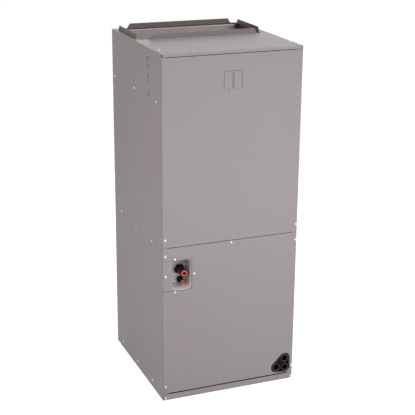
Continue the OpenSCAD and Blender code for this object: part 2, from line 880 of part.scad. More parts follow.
module line_plate() {
    z0 = notch_z - plate_lap;
    z1 = notch_z + notch_h + plate_lap;
    color("#9a9294") difference() {
        union() {
            block([plate_edge, plate_y, z0], [-hw + notch_w + plate_lap, plate_y + sheet_t, z1]);
            solid_y(plate_y, pocket_back) translate([pocket_cx, pocket_cz])
                round_rect(pocket_w + 2 * sheet_t, pocket_h + 2 * sheet_t, pocket_r + sheet_t);
        }
        solid_y(plate_y - 1, pocket_back - sheet_t) translate([pocket_cx, pocket_cz])
            round_rect(pocket_w, pocket_h, pocket_r);
        rod_y([suction_p[0], pocket_back - 3, suction_p[1]], suction_od / 2 + boot_wall, 5);
        rod_y([liquid_p[0], pocket_back - 3, liquid_p[1]], liquid_od / 2 + boot_wall, 5);
        // Small fixing hole near the back of the right wall
        rod_x([pocket_cx + pocket_w / 2 - 2, pocket_back - wall_hole[0], suction_p[1] + wall_hole[1]],
              wall_hole[2], 6);
        hole_y(-hw + plate_screw_left[0], notch_z + plate_screw_left[1], plate_y);
        hole_y(-hw + plate_screw_top[0], notch_z + notch_h + plate_screw_top[1], plate_y);
        hole_y(-hw + plate_screw_low[0], notch_z - plate_screw_low[1], plate_y);
        hole_y(-hw + notch_w + plate_screw_right[0], notch_z + plate_screw_right[1], plate_y);
    }
}

// Rubber grommet with a boot that sleeves its tube
module grommet(p, od, boot) {
    r = od / 2 - size_step + hole_gap / 2;
    neck = od / 2 + boot_wall - hole_gap / 2;
    lip = od / 2 + grommet_lip;
    wall = pocket_back - sheet_t;
    translate([p[0], wall, p[1]]) rotate([-90, 0, 0]) rotate_extrude() polygon([
        [r, -grommet_front - boot], [neck - 0.5, -grommet_front - boot],
        [neck, -grommet_front], [lip - 1.5, -grommet_front], [lip, -grommet_front + 2],
        [lip, 0], [neck, 0], [neck, sheet_t], [lip, sheet_t], [lip, sheet_t + grommet_rear],
        [r, sheet_t + grommet_rear]]);
}

module suction_grommet() {
    color("#1d1d1f") grommet(suction_p, suction_od, suction_boot);
}

module liquid_grommet() {
    color("#1d1d1f") grommet(liquid_p, liquid_od, liquid_boot);
}

// Spiral radius of the blower housing at an angle
function spiral(a) = scroll_r0 + (scroll_r1 - scroll_r0) * (a - scroll_a0) / (360 - scroll_a0);

// Outline of the housing in Y and Z, shrunk by g
module scroll_outline(g) {
    polygon(concat(
        [for (i = [0:scroll_steps])
            let (a = scroll_a0 + (360 - scroll_a0) * i / scroll_steps)
            [(spiral(a) - g) * cos(a), (spiral(a) - g) * sin(a)]],
        [[scroll_r1 - g, deck_z - scroll_z],
         [scroll_r0 * cos(scroll_a0) + g, deck_z - scroll_z]]));
}

// Wrap of the housing between its side plates, and the flange that hangs it under the deck
module blower_housing() {
    hx = scroll_w / 2;
    color("#b4b7ba") difference() {
        union() {
            difference() {
                translate([0, scroll_y, scroll_z]) solid_x(-hx, hx) scroll_outline(0);
                translate([0, scroll_y, scroll_z]) solid_x(-hx - 1, hx + 1) scroll_outline(scroll_t);
            }
            block([-hx - scroll_flange, outlet_y0, deck_z - scroll_t],
                  [hx + scroll_flange, outlet_y1, deck_z]);
        }
        block([-hx - scroll_t, outlet_y0 + scroll_t, scroll_z + scroll_r0],
              [hx + scroll_t, outlet_y1 - scroll_t, deck_z + 1]);
        for (p = hanger_screws) hole_z(p[0], p[1], deck_z);
    }
}

// Side plates of the housing with the rolled rings of its air inlets
module housing_sides() {
    hx = scroll_w / 2;
    color("#b4b7ba") difference() {
        for (s = [-1, 1]) translate([s * (hx + scroll_t / 2), scroll_y, scroll_z]) {
            intersection() {
                solid_x(-scroll_t / 2, scroll_t / 2) scroll_outline(0);
                block([-scroll_t, -scroll_r1, -scroll_r1],
                      [scroll_t, scroll_r1 + 1, deck_z - scroll_t - scroll_z]);
            }
            rotate([0, s * 90, 0]) translate([0, 0, -scroll_t / 2])
                cylinder(r = inlet_r + ring_w, h = scroll_t + ring_lip);
        }
        rod_x([-hx - scroll_flange, scroll_y, scroll_z], inlet_r, 2 * (hx + scroll_flange));
        for (i = [0:arm_n - 1]) arm_place(i) hole_x(band_x, 0, arm_hole);
    }
}

// Turns a shape about the blower's shaft to an arm's angle
module arm_place(i) {
    translate([0, scroll_y, scroll_z]) rotate([60 + 120 * i, 0, 0]) children();
}

module blower_motor() {
    x1 = motor_x + motor_l;
    color("#2c2c2e") difference() {
        union() {
            rod_x([motor_x, scroll_y, scroll_z], motor_r, motor_l);
            rod_x([motor_x - bell_l, scroll_y, scroll_z], bell_r, bell_l + 1);
            rod_x([x1 - 1, scroll_y, scroll_z], bell_r, bell_l + 1);
        }
        rod_x([motor_x - bell_l - 1, scroll_y, scroll_z], shaft_r + shaft_gap,
              shaft_end - motor_x + bell_l + 6);
        // Air vents in the end bell
        for (a = [0:30:330]) translate([0, scroll_y, scroll_z]) rotate([a, 0, 0])
            rod_x([x1 - vent_r, 0, vent_ring], vent_r, vent_r + 2);
    }
}

// Belly band around the motor with three arms to the housing
module motor_band() {
    r = motor_r + band_t;
    color("#a9acb0") {
        translate([band_x, scroll_y, scroll_z]) rotate([0, 90, 0]) difference() {
            cylinder(r = r, h = band_w);
            translate([0, 0, -1]) cylinder(r = motor_r, h = band_w + 2);
        }
        for (i = [0:arm_n - 1]) arm_place(i) difference() {
            block([band_x, -arm_w / 2, r - 1], [band_x + arm_t, arm_w / 2, inlet_r + ring_w]);
            hole_x(band_x, 0, arm_hole);
        }
    }
}

// Two end rings, and the middle plate with its hub
module blower_wheel() {
    color("#c3c7ca") translate([0, scroll_y, scroll_z]) rotate([0, 90, 0]) {
        for (x = [-wheel_l / 2, wheel_l / 2 - ring_l]) translate([0, 0, x]) difference() {
            cylinder(r = wheel_r, h = ring_l);
            translate([0, 0, -1]) cylinder(r = wheel_r - blade_d, h = ring_l + 2);
        }
        difference() {
            union() {
                translate([0, 0, -mid_t / 2]) cylinder(r = wheel_r - blade_d / 2, h = mid_t);
                translate([0, 0, -hub_l / 2]) cylinder(r = hub_r, h = hub_l);
            }
            translate([0, 0, -hub_l]) cylinder(r = shaft_r, h = 2 * hub_l);
        }
    }
}

// Blades between the end rings: each is cut where it grips the middle plate
module blower_blades() {
    color("#c3c7ca") translate([0, scroll_y, scroll_z]) rotate([0, 90, 0])
        for (i = [0:blade_n - 1], x = [-wheel_l / 2 + ring_l, mid_t / 2])
            rotate([0, 0, 360 * i / blade_n]) translate([0, 0, x])
                linear_extrude(wheel_l / 2 - ring_l - mid_t / 2) blade();
}

// One forward-curved blade, seen along the shaft
module blade() {
    t = 1.2;
    steps = 4;
    r0 = wheel_r - blade_d + 1;
    r1 = wheel_r - 1;
    bend = 9;
    function at(k, g) = let (r = r0 + (r1 - r0) * k / steps, a = bend * pow(k / steps, 2) + g)
        [r * cos(a), r * sin(a)];
    g = t / wheel_r * 180 / PI;
    polygon(concat([for (k = [0:steps]) at(k, 0)], [for (k = [steps:-1:0]) at(k, g)]));
}

module motor_shaft() {
    color("#8f9296") rod_x([shaft_start, scroll_y, scroll_z], shaft_r, shaft_end - shaft_start);
}

module control_panel() {
    foot = 16;
    color("#a9acb0") difference() {
        union() {
            block([-control_hw, control_y, deck_z + sheet_t],
                  [control_hw, control_y + sheet_t, side_h - sheet_t]);
            block([-control_hw + 2, control_y, deck_z + sheet_t],
                  [control_hw - 2, control_y + foot, deck_z + 2 * sheet_t]);
        }
        block([-heater_hw, control_y - 1, heater_z], [heater_hw, control_y + 2, heater_z + heater_h]);
        for (p = cover_screws) hole_y(p[0], p[1], control_y);
    }
}

module heater_cover() {
    color("#9c9fa3") difference() {
        block([-heater_hw - cover_lap[0], control_y - sheet_t, heater_z - cover_lap[1]],
              [heater_hw + cover_lap[0], control_y, heater_z + heater_h + cover_lap[1]]);
        for (p = cover_screws) hole_y(p[0], p[1], control_y);
    }
}

// Board on four posts, with three relays, four plugs and a capacitor towards the door
module control_board() {
    w = 120;
    h = 96;
    board_t = 1.6;
    sunk = 0.5;
    post = [8, 3];
    relay = [24, 16, 24];
    socket = [18, 9, 10];
    color("#3f6b4a") translate([board_x, control_y - board_gap, deck_z + board_rise]) {
        block([0, 0, 0], [w, board_t, h]);
        for (x = [post[0], w - post[0]], z = [post[0], h - post[0]])
            rod_y([x, 1, z], post[1], board_gap - 1);
        for (i = [0:2]) translate([14 + 34 * i, -relay[1], 56])
            cube([relay[0], relay[1] + sunk, relay[2]]);
        for (i = [0:3]) translate([12 + 26 * i, -socket[1], 10])
            cube([socket[0], socket[1] + sunk, socket[2]]);
        rod_y([w / 2, -14, 38], 6, 14 + sunk);
    }
}

// Laminated core round a winding, on a mounting strap
module transformer() {
    core = [62, 36, 50];
    winding = [34, 52, 34];
    strap = [82, 2, 42];
    stand = 8;
    color("#4a4a4e") translate([transformer_x, control_y, deck_z + 121]) {
        block([-core[0] / 2, -stand - core[1], -core[2] / 2], [core[0] / 2, -stand, core[2] / 2]);
        block([-winding[0] / 2, -strap[1] - winding[1], -winding[2] / 2],
              [winding[0] / 2, -strap[1], winding[2] / 2]);
        block([-strap[0] / 2, -strap[1], -strap[2] / 2], [strap[0] / 2, 0, strap[2] / 2]);
    }
}

// Terminal strip with one open bay for each screw
module terminal_block() {
    bays = 5;
    pitch = 16;
    wall = 4;
    h = 24;
    depth = 22;
    bay_h = 18;
    color("#2b2b2d") translate([terminal_x, control_y, deck_z + 52]) difference() {
        block([0, -depth, 0], [bays * pitch + wall, 0, h]);
        for (i = [0:bays - 1])
            block([wall + pitch * i, -depth - 1, (h - bay_h) / 2],
                  [pitch * (i + 1), -depth + 10, (h + bay_h) / 2]);
    }
}

// Relay with two blade terminals
module fan_relay() {
    can = [36, 34, 44];
    blade = [8, 6, 6];
    color("#3a3a3e") translate([relay_x, control_y - can[1], deck_z + 98]) {
        block([-can[0] / 2, 0, 0], [can[0] / 2, can[1], can[2]]);
        for (s = [-1, 1]) translate([s * 8 - blade[0] / 2, -blade[1], 8])
            cube([blade[0], blade[1] + 1, blade[2]]);
    }
}

// Can with a plastic lid and two blade terminals at its left end
module run_capacitor() {
    lid = 5;
    x = cap_x - cap_l / 2;
    color("#c8cbce") {
        rod_x([x, cap_y, cap_z], cap_r, cap_l);
        rod_x([x - lid, cap_y, cap_z], cap_r - 3, lid + 1);
        for (s = [-1, 1]) translate([x - lid, cap_y + s * 6, cap_z])
            block([-8, -2, -0.5], [1, 2, 0.5]);
    }
}

// Band round the can with two ears against the control panel
module capacitor_strap() {
    strap_w = 16;
    strap_t = 1.2;
    ear = 12;
    color("#a9acb0") translate([cap_x - strap_w / 2, cap_y, cap_z]) difference() {
        union() {
            rod_x([0, 0, 0], cap_r + strap_t, strap_w);
            block([0, cap_r + slide_gap, -cap_r - ear],
                  [strap_w, cap_r + slide_gap + strap_t, cap_r + ear]);
        }
        rod_x([-1, 0, 0], cap_r + hole_gap, strap_w + 2);
    }
}

module case_screws() {
    color("#c6cdd6") for (s = [-1, 1]) {
        for (y = top_row) screw_side(s, yf + y, deck_z + row_mid);
        for (y = mid_row) screw_side(s, yf + y, divider_z + row_mid);
        for (y = low_row) screw_side(s, yf + y, rail_screw_z);
    }
}

module rear_screws() {
    color("#c6cdd6") for (z = rear_rows, s = [-1, 1]) screw_rear(s * (hw - screw_in_l), z, hd);
}

module top_screws() {
    color("#c6cdd6") {
        for (s = [-1, 1]) translate([s * (hw - top_screw_in), yf + top_screw_y, cab_h]) screw();
        // Screws between the deck and the blower housing
        for (p = hanger_screws) translate([p[0], p[1], deck_z + sheet_t]) screw();
    }
}

// Screw that holds the line plate, and the one at the foot of the right side
module line_plate_screw() {
    color("#c6cdd6") {
        screw_front(-hw + plate_screw_left[0], notch_z + plate_screw_left[1], plate_y);
        screw_front(hw - screw_in_r, strip_screw_z, fold_y);
    }
}

module control_screws() {
    color("#c6cdd6") {
        for (p = cover_screws) screw_front(p[0], p[1], control_y - sheet_t);
        for (i = [0:arm_n - 1]) arm_place(i)
            translate([band_x + arm_t, 0, arm_hole]) rotate([0, 90, 0]) screw();
    }
}

module upper_door() {
    x0 = -hw + door_in;
    x1 = hw - door_in;
    color("#a29da0") difference() {
        union() {
            block([x0, yf, upper_z0], [x1, hem_y, upper_z1]);
            for (x = [[x0, x0 + hem_w], [x1 - hem_w, x1]])
                block([x[0], hem_y - cut, upper_z0], [x[1], hem_y + sheet_t, upper_z1]);
            block([x0, hem_y - cut, upper_z1 - hem_w], [x1, hem_y + sheet_t, upper_z1]);
            block([x0, hem_y - cut, upper_z0], [x1, hem_y + sheet_t, upper_z0 + hem_w]);
        }
        hole_y(-hw + screw_in_l, upper_z0 + upper_screw_z - 1, yf);
        hole_y(hw - screw_in_r, upper_z0 + upper_screw_z - 1, yf);
        for (i = [0, 1]) breaker_slits(breaker_x + i * (breaker_w + breaker_space));
    }
}

// Slits on three sides of a breaker knockout and a small hole at its foot
module breaker_slits(x) {
    y0 = yf - 1;
    y1 = hem_y + 1;
    z1 = breaker_z + breaker_h;
    bridge = 3;
    for (sx = [x, x + breaker_w - slit_w])
        block([sx, y0, breaker_z + bridge], [sx + slit_w, y1, z1 - bridge]);
    block([x + bridge, y0, z1 - slit_w], [x + breaker_w - bridge, y1, z1]);
    rod_y([x + breaker_w / 2, y0, breaker_z], breaker_dot_r, 3);
}

module upper_door_insulation() {
    color("#c9c9c6") block([-in_x + fold_w + 3, hem_y, divider_z + divider_lip + 7],
                           [in_x - fold_w - 3, hem_y + pad_t, deck_z - pad_gap]);
}

module upper_door_screws() {
    color("#c6cdd6") {
        screw_front(-hw + screw_in_l, upper_z0 + upper_screw_z - 1, yf);
        screw_front(hw - screw_in_r, upper_z0 + upper_screw_z - 1, yf);
    }
}

// Places of the lower door's screws
lower_points = [
    [-hw + screw_in_l, lower_z1 - lower_screw_z], [hw - screw_in_r, lower_z1 - lower_screw_z],
    [0, mid_screw_z], [-hw + screw_in_l, foot_screw_z], [hw - screw_in_r, foot_screw_z],
    [-hw + plate_screw_top[0], notch_z + notch_h + plate_screw_top[1]],
    [-hw + plate_screw_low[0], notch_z - plate_screw_low[1]],
    [-hw + notch_w + plate_screw_right[0], notch_z + plate_screw_right[1]]];

module lower_door() {
    x0 = -hw + door_in;
    x1 = hw - door_in;
    lap = plate_lap + 1;
    color("#9c979a") difference() {
        union() {
            block([x0, yf, lower_z0], [x1, hem_y, lower_z1]);
            for (x = [[x0, x0 + hem_w], [x1 - hem_w, x1]])
                block([x[0], hem_y - cut, lower_z0], [x[1], hem_y + sheet_t, lower_z1]);
            block([x0, hem_y - cut, lower_z1 - hem_w], [x1, hem_y + sheet_t, lower_z1]);
        }
        // The hem stops where the line plate lies behind the door
        block([x0 - 1, hem_y, notch_z - lap], [-hw + notch_w + lap, hem_y + 2, notch_z + notch_h + lap]);
        // Notch with round right-hand corners
        solid_y(yf - 1, hem_y + 2) {
            translate([-hw + notch_w / 2 - 5, notch_z + notch_h / 2])
                round_rect(notch_w + 10, notch_h, 6);
        }
        solid_y(yf - 1, hem_y + 2) boss_outline(boss_gap);
        for (p = lower_points) hole_y(p[0], p[1], yf);
    }
}

module lower_door_insulation() {
    x0 = -hw + notch_w + plate_lap + pad_gap + 1;
    color("#c9c9c6") block([x0, hem_y, ports[0][1] + boss_r + 10],
                           [in_x - fold_w - 3, hem_y + pad_t, divider_z - pad_gap]);
}

module lower_door_screws() {
    color("#c6cdd6") for (p = lower_points) screw_front(p[0], p[1], yf);
}

module filter_cover() {
    x0 = -hw + 1.6;
    x1 = hw - strip_end;
    color("#9c979a") difference() {
        union() {
            block([x0, yf, 0], [x1, hem_y, strip_h]);
            block([x0 + hem_w + fold_w, yf, 0], [x1 - fold_w, hem_y + strip_return, sheet_t]);
            block([x0 + hem_w + fold_w, yf, strip_h - sheet_t],
                  [x1 - fold_w, hem_y + strip_return, strip_h]);
        }
        hole_y(-hw + screw_in_l, strip_screw_z, yf);
    }
}

module filter_cover_screw() {
    color("#c6cdd6") screw_front(-hw + screw_in_l, strip_screw_z, yf);
}

module filter_frame() {
    color("#c8b690") difference() {
        block([-filter_w / 2, filter_y0, filter_z0],
              [filter_w / 2, filter_y0 + filter_l, filter_z0 + filter_t]);
        block([-filter_w / 2 + frame_wall, filter_y0 + frame_wall, filter_z0 - 1],
              [filter_w / 2 - frame_wall, filter_y0 + filter_l - frame_wall,
               filter_z0 + filter_t + 1]);
    }
}

// Pleated paper: a zigzag across the width, made solid along the depth
module filter_media() {
    half = filter_w / 2 - frame_wall;
    step = 2 * half / media_pleats;
    t = 1.5;
    low = filter_z0 + 1;
    high = filter_z0 + filter_t - 1 - t;
    function zig(i) = [-half + i * step / 2, i % 2 == 0 ? low : high];
    pts = [for (i = [0:2 * media_pleats]) zig(i)];
    color("#e9e7e0") solid_y(filter_y0 + frame_wall, filter_y0 + filter_l - frame_wall)
        polygon(concat(pts, [for (i = [2 * media_pleats:-1:0]) pts[i] + [0, t]]));
}

// Lobed plug with a skirt that fits inside its tube
module plug(p, end, r_in, r_head) {
    skirt = 12;
    color("#f24a3f") translate([p[0], end, p[1]]) rotate([90, 0, 0]) difference() {
        union() {
            translate([0, 0, -skirt]) cylinder(r = r_in, h = skirt + 1);
            translate([0, 0, plug_gap]) cylinder(r = r_head - 2, h = plug_head);
            for (i = [0:plug_lobes - 1]) rotate([0, 0, 360 * i / plug_lobes])
                translate([r_head - 2.5, 0, plug_gap]) cylinder(r = 2.5, h = plug_head);
        }
        translate([0, 0, -skirt / 2]) cylinder(r = r_in * 0.4, h = skirt + plug_head);
    }
}

module suction_plug() {
    plug(suction_p, suction_end, suction_od / 2 - tube_wall - plug_gap / 2,
         suction_head_r);
}

module liquid_plug() {
    plug(liquid_p, liquid_end, liquid_od / 2 - tube_wall - plug_gap / 2, liquid_head_r);
}

left_side();
right_side();
rear_panel();
top_panel();
base_pan();
coil_divider();
blower_deck();
left_insulation();
right_insulation();
rear_insulation();
filter_rail_left();
filter_rail_right();
drain_pan();
coil_slab_left();
coil_slab_right();
coil_tube_sheets();
return_bends();
coil_front_plate();
coil_rear_plate();
coil_top_cap();
suction_line();
liquid_line();
expansion_valve();
distributor_tubes();
line_plate();
suction_grommet();
liquid_grommet();
blower_housing();
housing_sides();
blower_motor();
motor_band();
control_panel();
heater_cover();
control_board();
transformer();
terminal_block();
fan_relay();
run_capacitor();
capacitor_strap();
case_screws();
rear_screws();
top_screws();
line_plate_screw();
control_screws();
upper_door();
upper_door_insulation();
upper_door_screws();
lower_door();
lower_door_insulation();
lower_door_screws();
filter_cover();
filter_cover_screw();
filter_frame();
filter_media();
blower_wheel();
blower_blades();
motor_shaft();
suction_plug();
liquid_plug();
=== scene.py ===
import json
import math

import bmesh
import bpy
import numpy as np
from mathutils import Matrix, Vector


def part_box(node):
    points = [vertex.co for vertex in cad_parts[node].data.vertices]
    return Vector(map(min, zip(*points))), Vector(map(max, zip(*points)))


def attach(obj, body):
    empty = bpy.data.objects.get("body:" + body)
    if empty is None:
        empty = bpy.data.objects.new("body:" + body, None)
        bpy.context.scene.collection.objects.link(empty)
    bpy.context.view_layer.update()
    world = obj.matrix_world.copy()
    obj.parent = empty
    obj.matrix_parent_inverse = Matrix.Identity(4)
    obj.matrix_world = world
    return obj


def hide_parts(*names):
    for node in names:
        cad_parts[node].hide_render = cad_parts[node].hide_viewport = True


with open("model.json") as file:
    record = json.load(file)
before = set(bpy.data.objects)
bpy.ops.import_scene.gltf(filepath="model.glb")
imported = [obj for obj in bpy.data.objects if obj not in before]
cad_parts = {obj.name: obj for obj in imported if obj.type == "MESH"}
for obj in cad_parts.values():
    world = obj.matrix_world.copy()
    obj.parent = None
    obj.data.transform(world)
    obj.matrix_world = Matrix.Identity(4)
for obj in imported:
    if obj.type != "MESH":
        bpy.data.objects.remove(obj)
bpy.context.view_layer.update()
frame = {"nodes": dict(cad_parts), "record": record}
nodes = frame["nodes"]
body_of_node = {n: body for body, members in frame["record"]["behaviour"]["bodies"].items() for n in members}
slot_of_node = {part["node"]: part["material_slot"] for part in frame["record"]["subparts"]}

# Sizes and places are in mm unless a comment says otherwise. Points nearer than MERGE metres are one.
MM = 0.001
MERGE = 1e-6


# Boxes, objects and faces


def in_mm(corners):
    """The low and the high corner of a box, from metres to mm."""
    return np.array(corners) / MM


def middle_of(node):
    """The middle of a CAD node's box in mm."""
    low, high = in_mm(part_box(node))
    return (low + high) / 2


def new_piece(name, mesh, finish, body):
    """An object of the mesh in a finish, which moves with a CAD body."""
    piece = bpy.data.objects.new(name, mesh)
    bpy.context.scene.collection.objects.link(piece)
    mesh.materials.clear()
    mesh.materials.append(finish.material)
    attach(piece, body)
    return piece


def face_places(mesh):
    """The centre of each face in mm, and its normal."""
    fields = []
    for field in ("center", "normal"):
        values = np.empty(len(mesh.polygons) * 3, np.float32)
        mesh.polygons.foreach_get(field, values)
        fields.append(values.reshape(-1, 3))
    return fields[0] / MM, fields[1]


def coat_faces(mesh, finish, chosen):
    """Gives the chosen faces of a mesh with one material a second finish."""
    mesh.materials.append(FINISHES[finish].material)
    mesh.polygons.foreach_set("material_index", chosen.astype(np.int32))


# Meshes from grids of points


def cells(rows, cols, wrap):
    """The four corners of every cell of a grid: point (i, j), its next in the row, and both one row on.
    With wrap the last column is followed by the first."""
    i, j = np.meshgrid(np.arange(rows - 1), np.arange(cols if wrap else cols - 1), indexing="ij")
    k = (j + 1) % cols
    return np.stack([i * cols + j, i * cols + k, (i + 1) * cols + k, (i + 1) * cols + j], -1).reshape(-1, 4)


class Shape:
    """Grids of points, in metres, that are joined into one mesh."""

    def __init__(self):
        self.points = []
        self.faces = []
        self.count = 0

    def add(self, grid, wrap=False):
        """Adds a grid of (rows, cols, 3) points, or many copies of one along the first axis."""
        grid = np.asarray(grid, float)
        rows, cols = grid.shape[-3:-1]
        copies = grid.reshape(-1, rows * cols, 3)
        start = self.count + np.arange(len(copies)) * rows * cols
        self.points.append(copies.reshape(-1, 3))
        self.faces.append((cells(rows, cols, wrap)[None] + start[:, None, None]).reshape(-1, 4))
        self.count += copies.shape[0] * rows * cols
        return self

    def make(self, name, finish, node, soft=35, closed=True):
        """Makes the object: equal points merged, faces outward, edges sharper than soft degrees kept sharp.
        An open sheet keeps the side that its grid faces. It moves with the body of a CAD node."""
        mesh = bpy.data.meshes.new(name)
        mesh.from_pydata(np.concatenate(self.points).tolist(), [], np.concatenate(self.faces).tolist())
        work = bmesh.new()
        work.from_mesh(mesh)
        bmesh.ops.remove_doubles(work, verts=work.verts, dist=MERGE)
        if closed:
            bmesh.ops.recalc_face_normals(work, faces=work.faces)
        work.to_mesh(mesh)
        work.free()
        mesh.shade_smooth()
        mesh.set_sharp_from_angle(angle=math.radians(soft))
        return new_piece(name, mesh, FINISHES[finish], body_of_node[node])


def turned(profile, around, sides=None):
    """A profile of (radius, height) pairs turned about Z: point (i, j) lies at radius i, angle j.
    With sides, a third value per pair blends the circle into a polygon whose flats lie at that radius."""
    profile = np.asarray(profile, float)
    angle = np.arange(around) * 2 * math.pi / around
    radius = np.repeat(profile[:, :1], around, 1)
    if sides:
        half = math.pi / sides
        corner = 1 / np.cos((angle + half) % (2 * half) - half)
        radius = radius * (1 + profile[:, 2:3] * (corner - 1))
    height = np.repeat(profile[:, 1:2], around, 1)
    return np.stack([radius * np.cos(angle), radius * np.sin(angle), height], -1)


def facing(axis):
    """Rows of a turn that takes local Z to the axis, one of -Y, +Y, -X, +X, +Z or -Z."""
    z = np.asarray(axis, float)
    x = np.array([0.0, 1.0, 0.0]) if abs(z[0]) > 0.5 else np.array([1.0, 0.0, 0.0])
    return np.stack([x, np.cross(z, x), z])


def islands(node):
    """The separate solids of a CAD node, each as an array of its points. Equal points get one number, and
    every corner of a triangle takes the lowest label of the three until no label changes."""
    mesh = nodes[node].data
    mesh.calc_loop_triangles()
    places = np.empty(len(mesh.vertices) * 3, np.float32)
    mesh.vertices.foreach_get("co", places)
    corners = np.empty(len(mesh.loop_triangles) * 3, np.int32)
    mesh.loop_triangles.foreach_get("vertices", corners)
    points, same = np.unique(np.round(places.reshape(-1, 3), 6), axis=0, return_inverse=True)
    faces = same.reshape(-1)[corners].reshape(-1, 3)
    label = np.arange(len(points))
    while True:
        lowest = np.repeat(label[faces].min(1), 3)
        before = label.copy()
        np.minimum.at(label, faces.reshape(-1), lowest)
        label = label[label]
        if (label == before).all():
            break
    return [points[label == first].astype(float) for first in np.unique(label)]


# Shader tools


class Value:
    """A number that changes over a surface: sums on it add the Math nodes."""

    def __init__(self, finish, socket):
        self.finish = finish
        self.socket = socket

    def math(self, operation, *values):
        """A Math node on the values. Where this value isn't among them, it comes first."""
        values = values if self in values else (self,) + values
        node = self.finish.node("ShaderNodeMath", {"operation": operation}, dict(enumerate(values)))
        return Value(self.finish, node.outputs[0])

    def __add__(self, other):
        return self.math("ADD", self, other)

    def __sub__(self, other):
        return self.math("SUBTRACT", self, other)

    def __rsub__(self, other):
        return self.math("SUBTRACT", other, self)

    def __mul__(self, other):
        return self.math("MULTIPLY", self, other)

    def length_with(self, other):
        """The length of the two values as the sides of a right angle."""
        return (self * self + other * other).math("SQRT")

    def within(self, place, width):
        """1 where the value is nearer than width to a place, else 0."""
        return self.math("COMPARE", place, width)

    def above(self, place):
        """1 where the value is more than a place, else 0."""
        return self.math("GREATER_THAN", place)

    __radd__ = __add__
    __rmul__ = __mul__


def linear(red, green, blue):
    """A screen colour from 0 to 255 as the linear colour that a shader takes."""
    return tuple((c / 255 / 12.92 if c < 10.5 else ((c / 255 + 0.055) / 1.055) ** 2.4)
                 for c in (red, green, blue)) + (1.0,)


class Tree:
    """The nodes of a material or of the world."""

    def __init__(self, owner):
        owner.use_nodes = True
        self.tree = owner.node_tree

    def node(self, kind, settings, inputs):
        """Adds a node: its settings first, then the values or links of its sockets."""
        node = self.tree.nodes.new(kind)
        for key, value in settings.items():
            setattr(node, key, value)
        for key, value in inputs.items():
            self.feed(node.inputs[key], value)
        return node

    def feed(self, socket, value):
        """Links a value that changes over the surface, or sets a constant."""
        if isinstance(value, Value):
            value = value.socket
        if isinstance(value, bpy.types.NodeSocket):
            self.tree.links.new(value, socket)
        else:
            socket.default_value = value


class Finish(Tree):
    """A material round one Principled shader, and the record's slot that it stands for."""

    def __init__(self, slot, colour, constants, name=None):
        self.slot = slot
        self.name = name or slot
        self.material = bpy.data.materials.new(self.name)
        super().__init__(self.material)
        self.shader = self.tree.nodes["Principled BSDF"]
        self.colour = linear(*colour)
        self.shader.inputs["Base Color"].default_value = self.colour
        for socket, value in constants.items():
            self.shader.inputs[socket].default_value = value
        self.material.diffuse_color = self.colour

    def place(self, stretch=(1, 1, 1), turn=(0, 0, 0)):
        """Object coordinates in metres, stretched and turned."""
        coords = self.node("ShaderNodeTexCoord", {}, {})
        mapping = self.node("ShaderNodeMapping", {}, {
            "Vector": coords.outputs["Object"], "Scale": stretch,
            "Rotation": tuple(math.radians(a) for a in turn)})
        return mapping.outputs[0]

    def sides(self):
        """The Y and the Z of the object coordinates, in metres."""
        parts = self.node("ShaderNodeSeparateXYZ", {}, {0: self.place()})
        return Value(self, parts.outputs["Y"]), Value(self, parts.outputs["Z"])

    def noise(self, size, detail=2, stretch=(1, 1, 1)):
        """Cloudy noise from 0 to 1 with patches of that size in metres."""
        node = self.node("ShaderNodeTexNoise", {}, {
            "Vector": self.place(stretch), "Scale": 1 / size, "Detail": detail})
        return Value(self, node.outputs[0])

    def blend(self, mask, low, high):
        """A colour between two colours."""
        node = self.node("ShaderNodeMix", {"data_type": "RGBA"}, {0: mask, 6: low, 7: high})
        return node.outputs[2]

    def shades(self, mask, dark, light):
        """Base colour from the finish's own colour times dark to the same times light."""
        low = tuple(c * dark for c in self.colour[:3]) + (1,)
        high = tuple(c * light for c in self.colour[:3]) + (1,)
        self.feed(self.shader.inputs["Base Color"], self.blend(mask, low, high))

    def relief(self, height, depth, strength=1.0):
        """Bumps of that height in metres."""
        node = self.node("ShaderNodeBump", {}, {"Height": height, "Distance": depth, "Strength": strength})
        self.feed(self.shader.inputs["Normal"], node.outputs[0])

    def gloss(self, value):
        """Roughness over the surface."""
        self.feed(self.shader.inputs["Roughness"], value)


# Finishes

# The knockouts stand over each other at one Y: the height and the radius of each
KNOCK_Y = -149.0
KNOCKOUTS = ((1255.0, 20.0), (1199.0, 14.0), (1146.0, 9.0))
# The painted shadow beside each knockout: how far inside its circle, its half width, and how far behind the
# knockouts it starts
KNOCK_SHADE_IN = 0.4
KNOCK_SHADE_W = 2.0
KNOCK_SHADE_FROM = 1.0


def cabinet_paint(name=None, colour=(160, 150, 151), knockout_shade=False):
    """Baked taupe enamel: an even colour with faint clouds, and a fine orange peel. On the sides a painted
    shadow lies dark round the rear half of each knockout's slit: a band about its circle."""
    paint = Finish("cabinet_paint", colour, {"Specular IOR Level": 0.2}, name)
    clouds = paint.noise(0.35, 3)
    paint.shades(clouds, 0.965, 1.03)
    if knockout_shade:
        # Painted shadow: a dark band on the rear half of each knockout's circle
        across, up = paint.sides()
        rear = across.above((KNOCK_Y + KNOCK_SHADE_FROM) * MM)
        rings = [(across - KNOCK_Y * MM).length_with(up - z * MM).within((r - KNOCK_SHADE_IN) * MM, KNOCK_SHADE_W * MM)
                 for z, r in KNOCKOUTS]
        shade_band = rear * (rings[0] + rings[1] + rings[2])
        painted = paint.shader.inputs["Base Color"].links[0].from_socket
        paint.feed(paint.shader.inputs["Base Color"], paint.blend(shade_band, painted, linear(58, 52, 52)))
    paint.gloss(0.30 + paint.noise(0.08, 3) * 0.10)
    paint.relief(paint.noise(0.0022, 2), 0.00004, 0.5)
    return paint


def side_shade_paint():
    """The cabinet's enamel on the two sides, a trace warmer and darker as painted shade, with the knockouts'
    painted shadow.
    """
    return cabinet_paint("side_shade_paint", (159, 146, 148), knockout_shade=True)


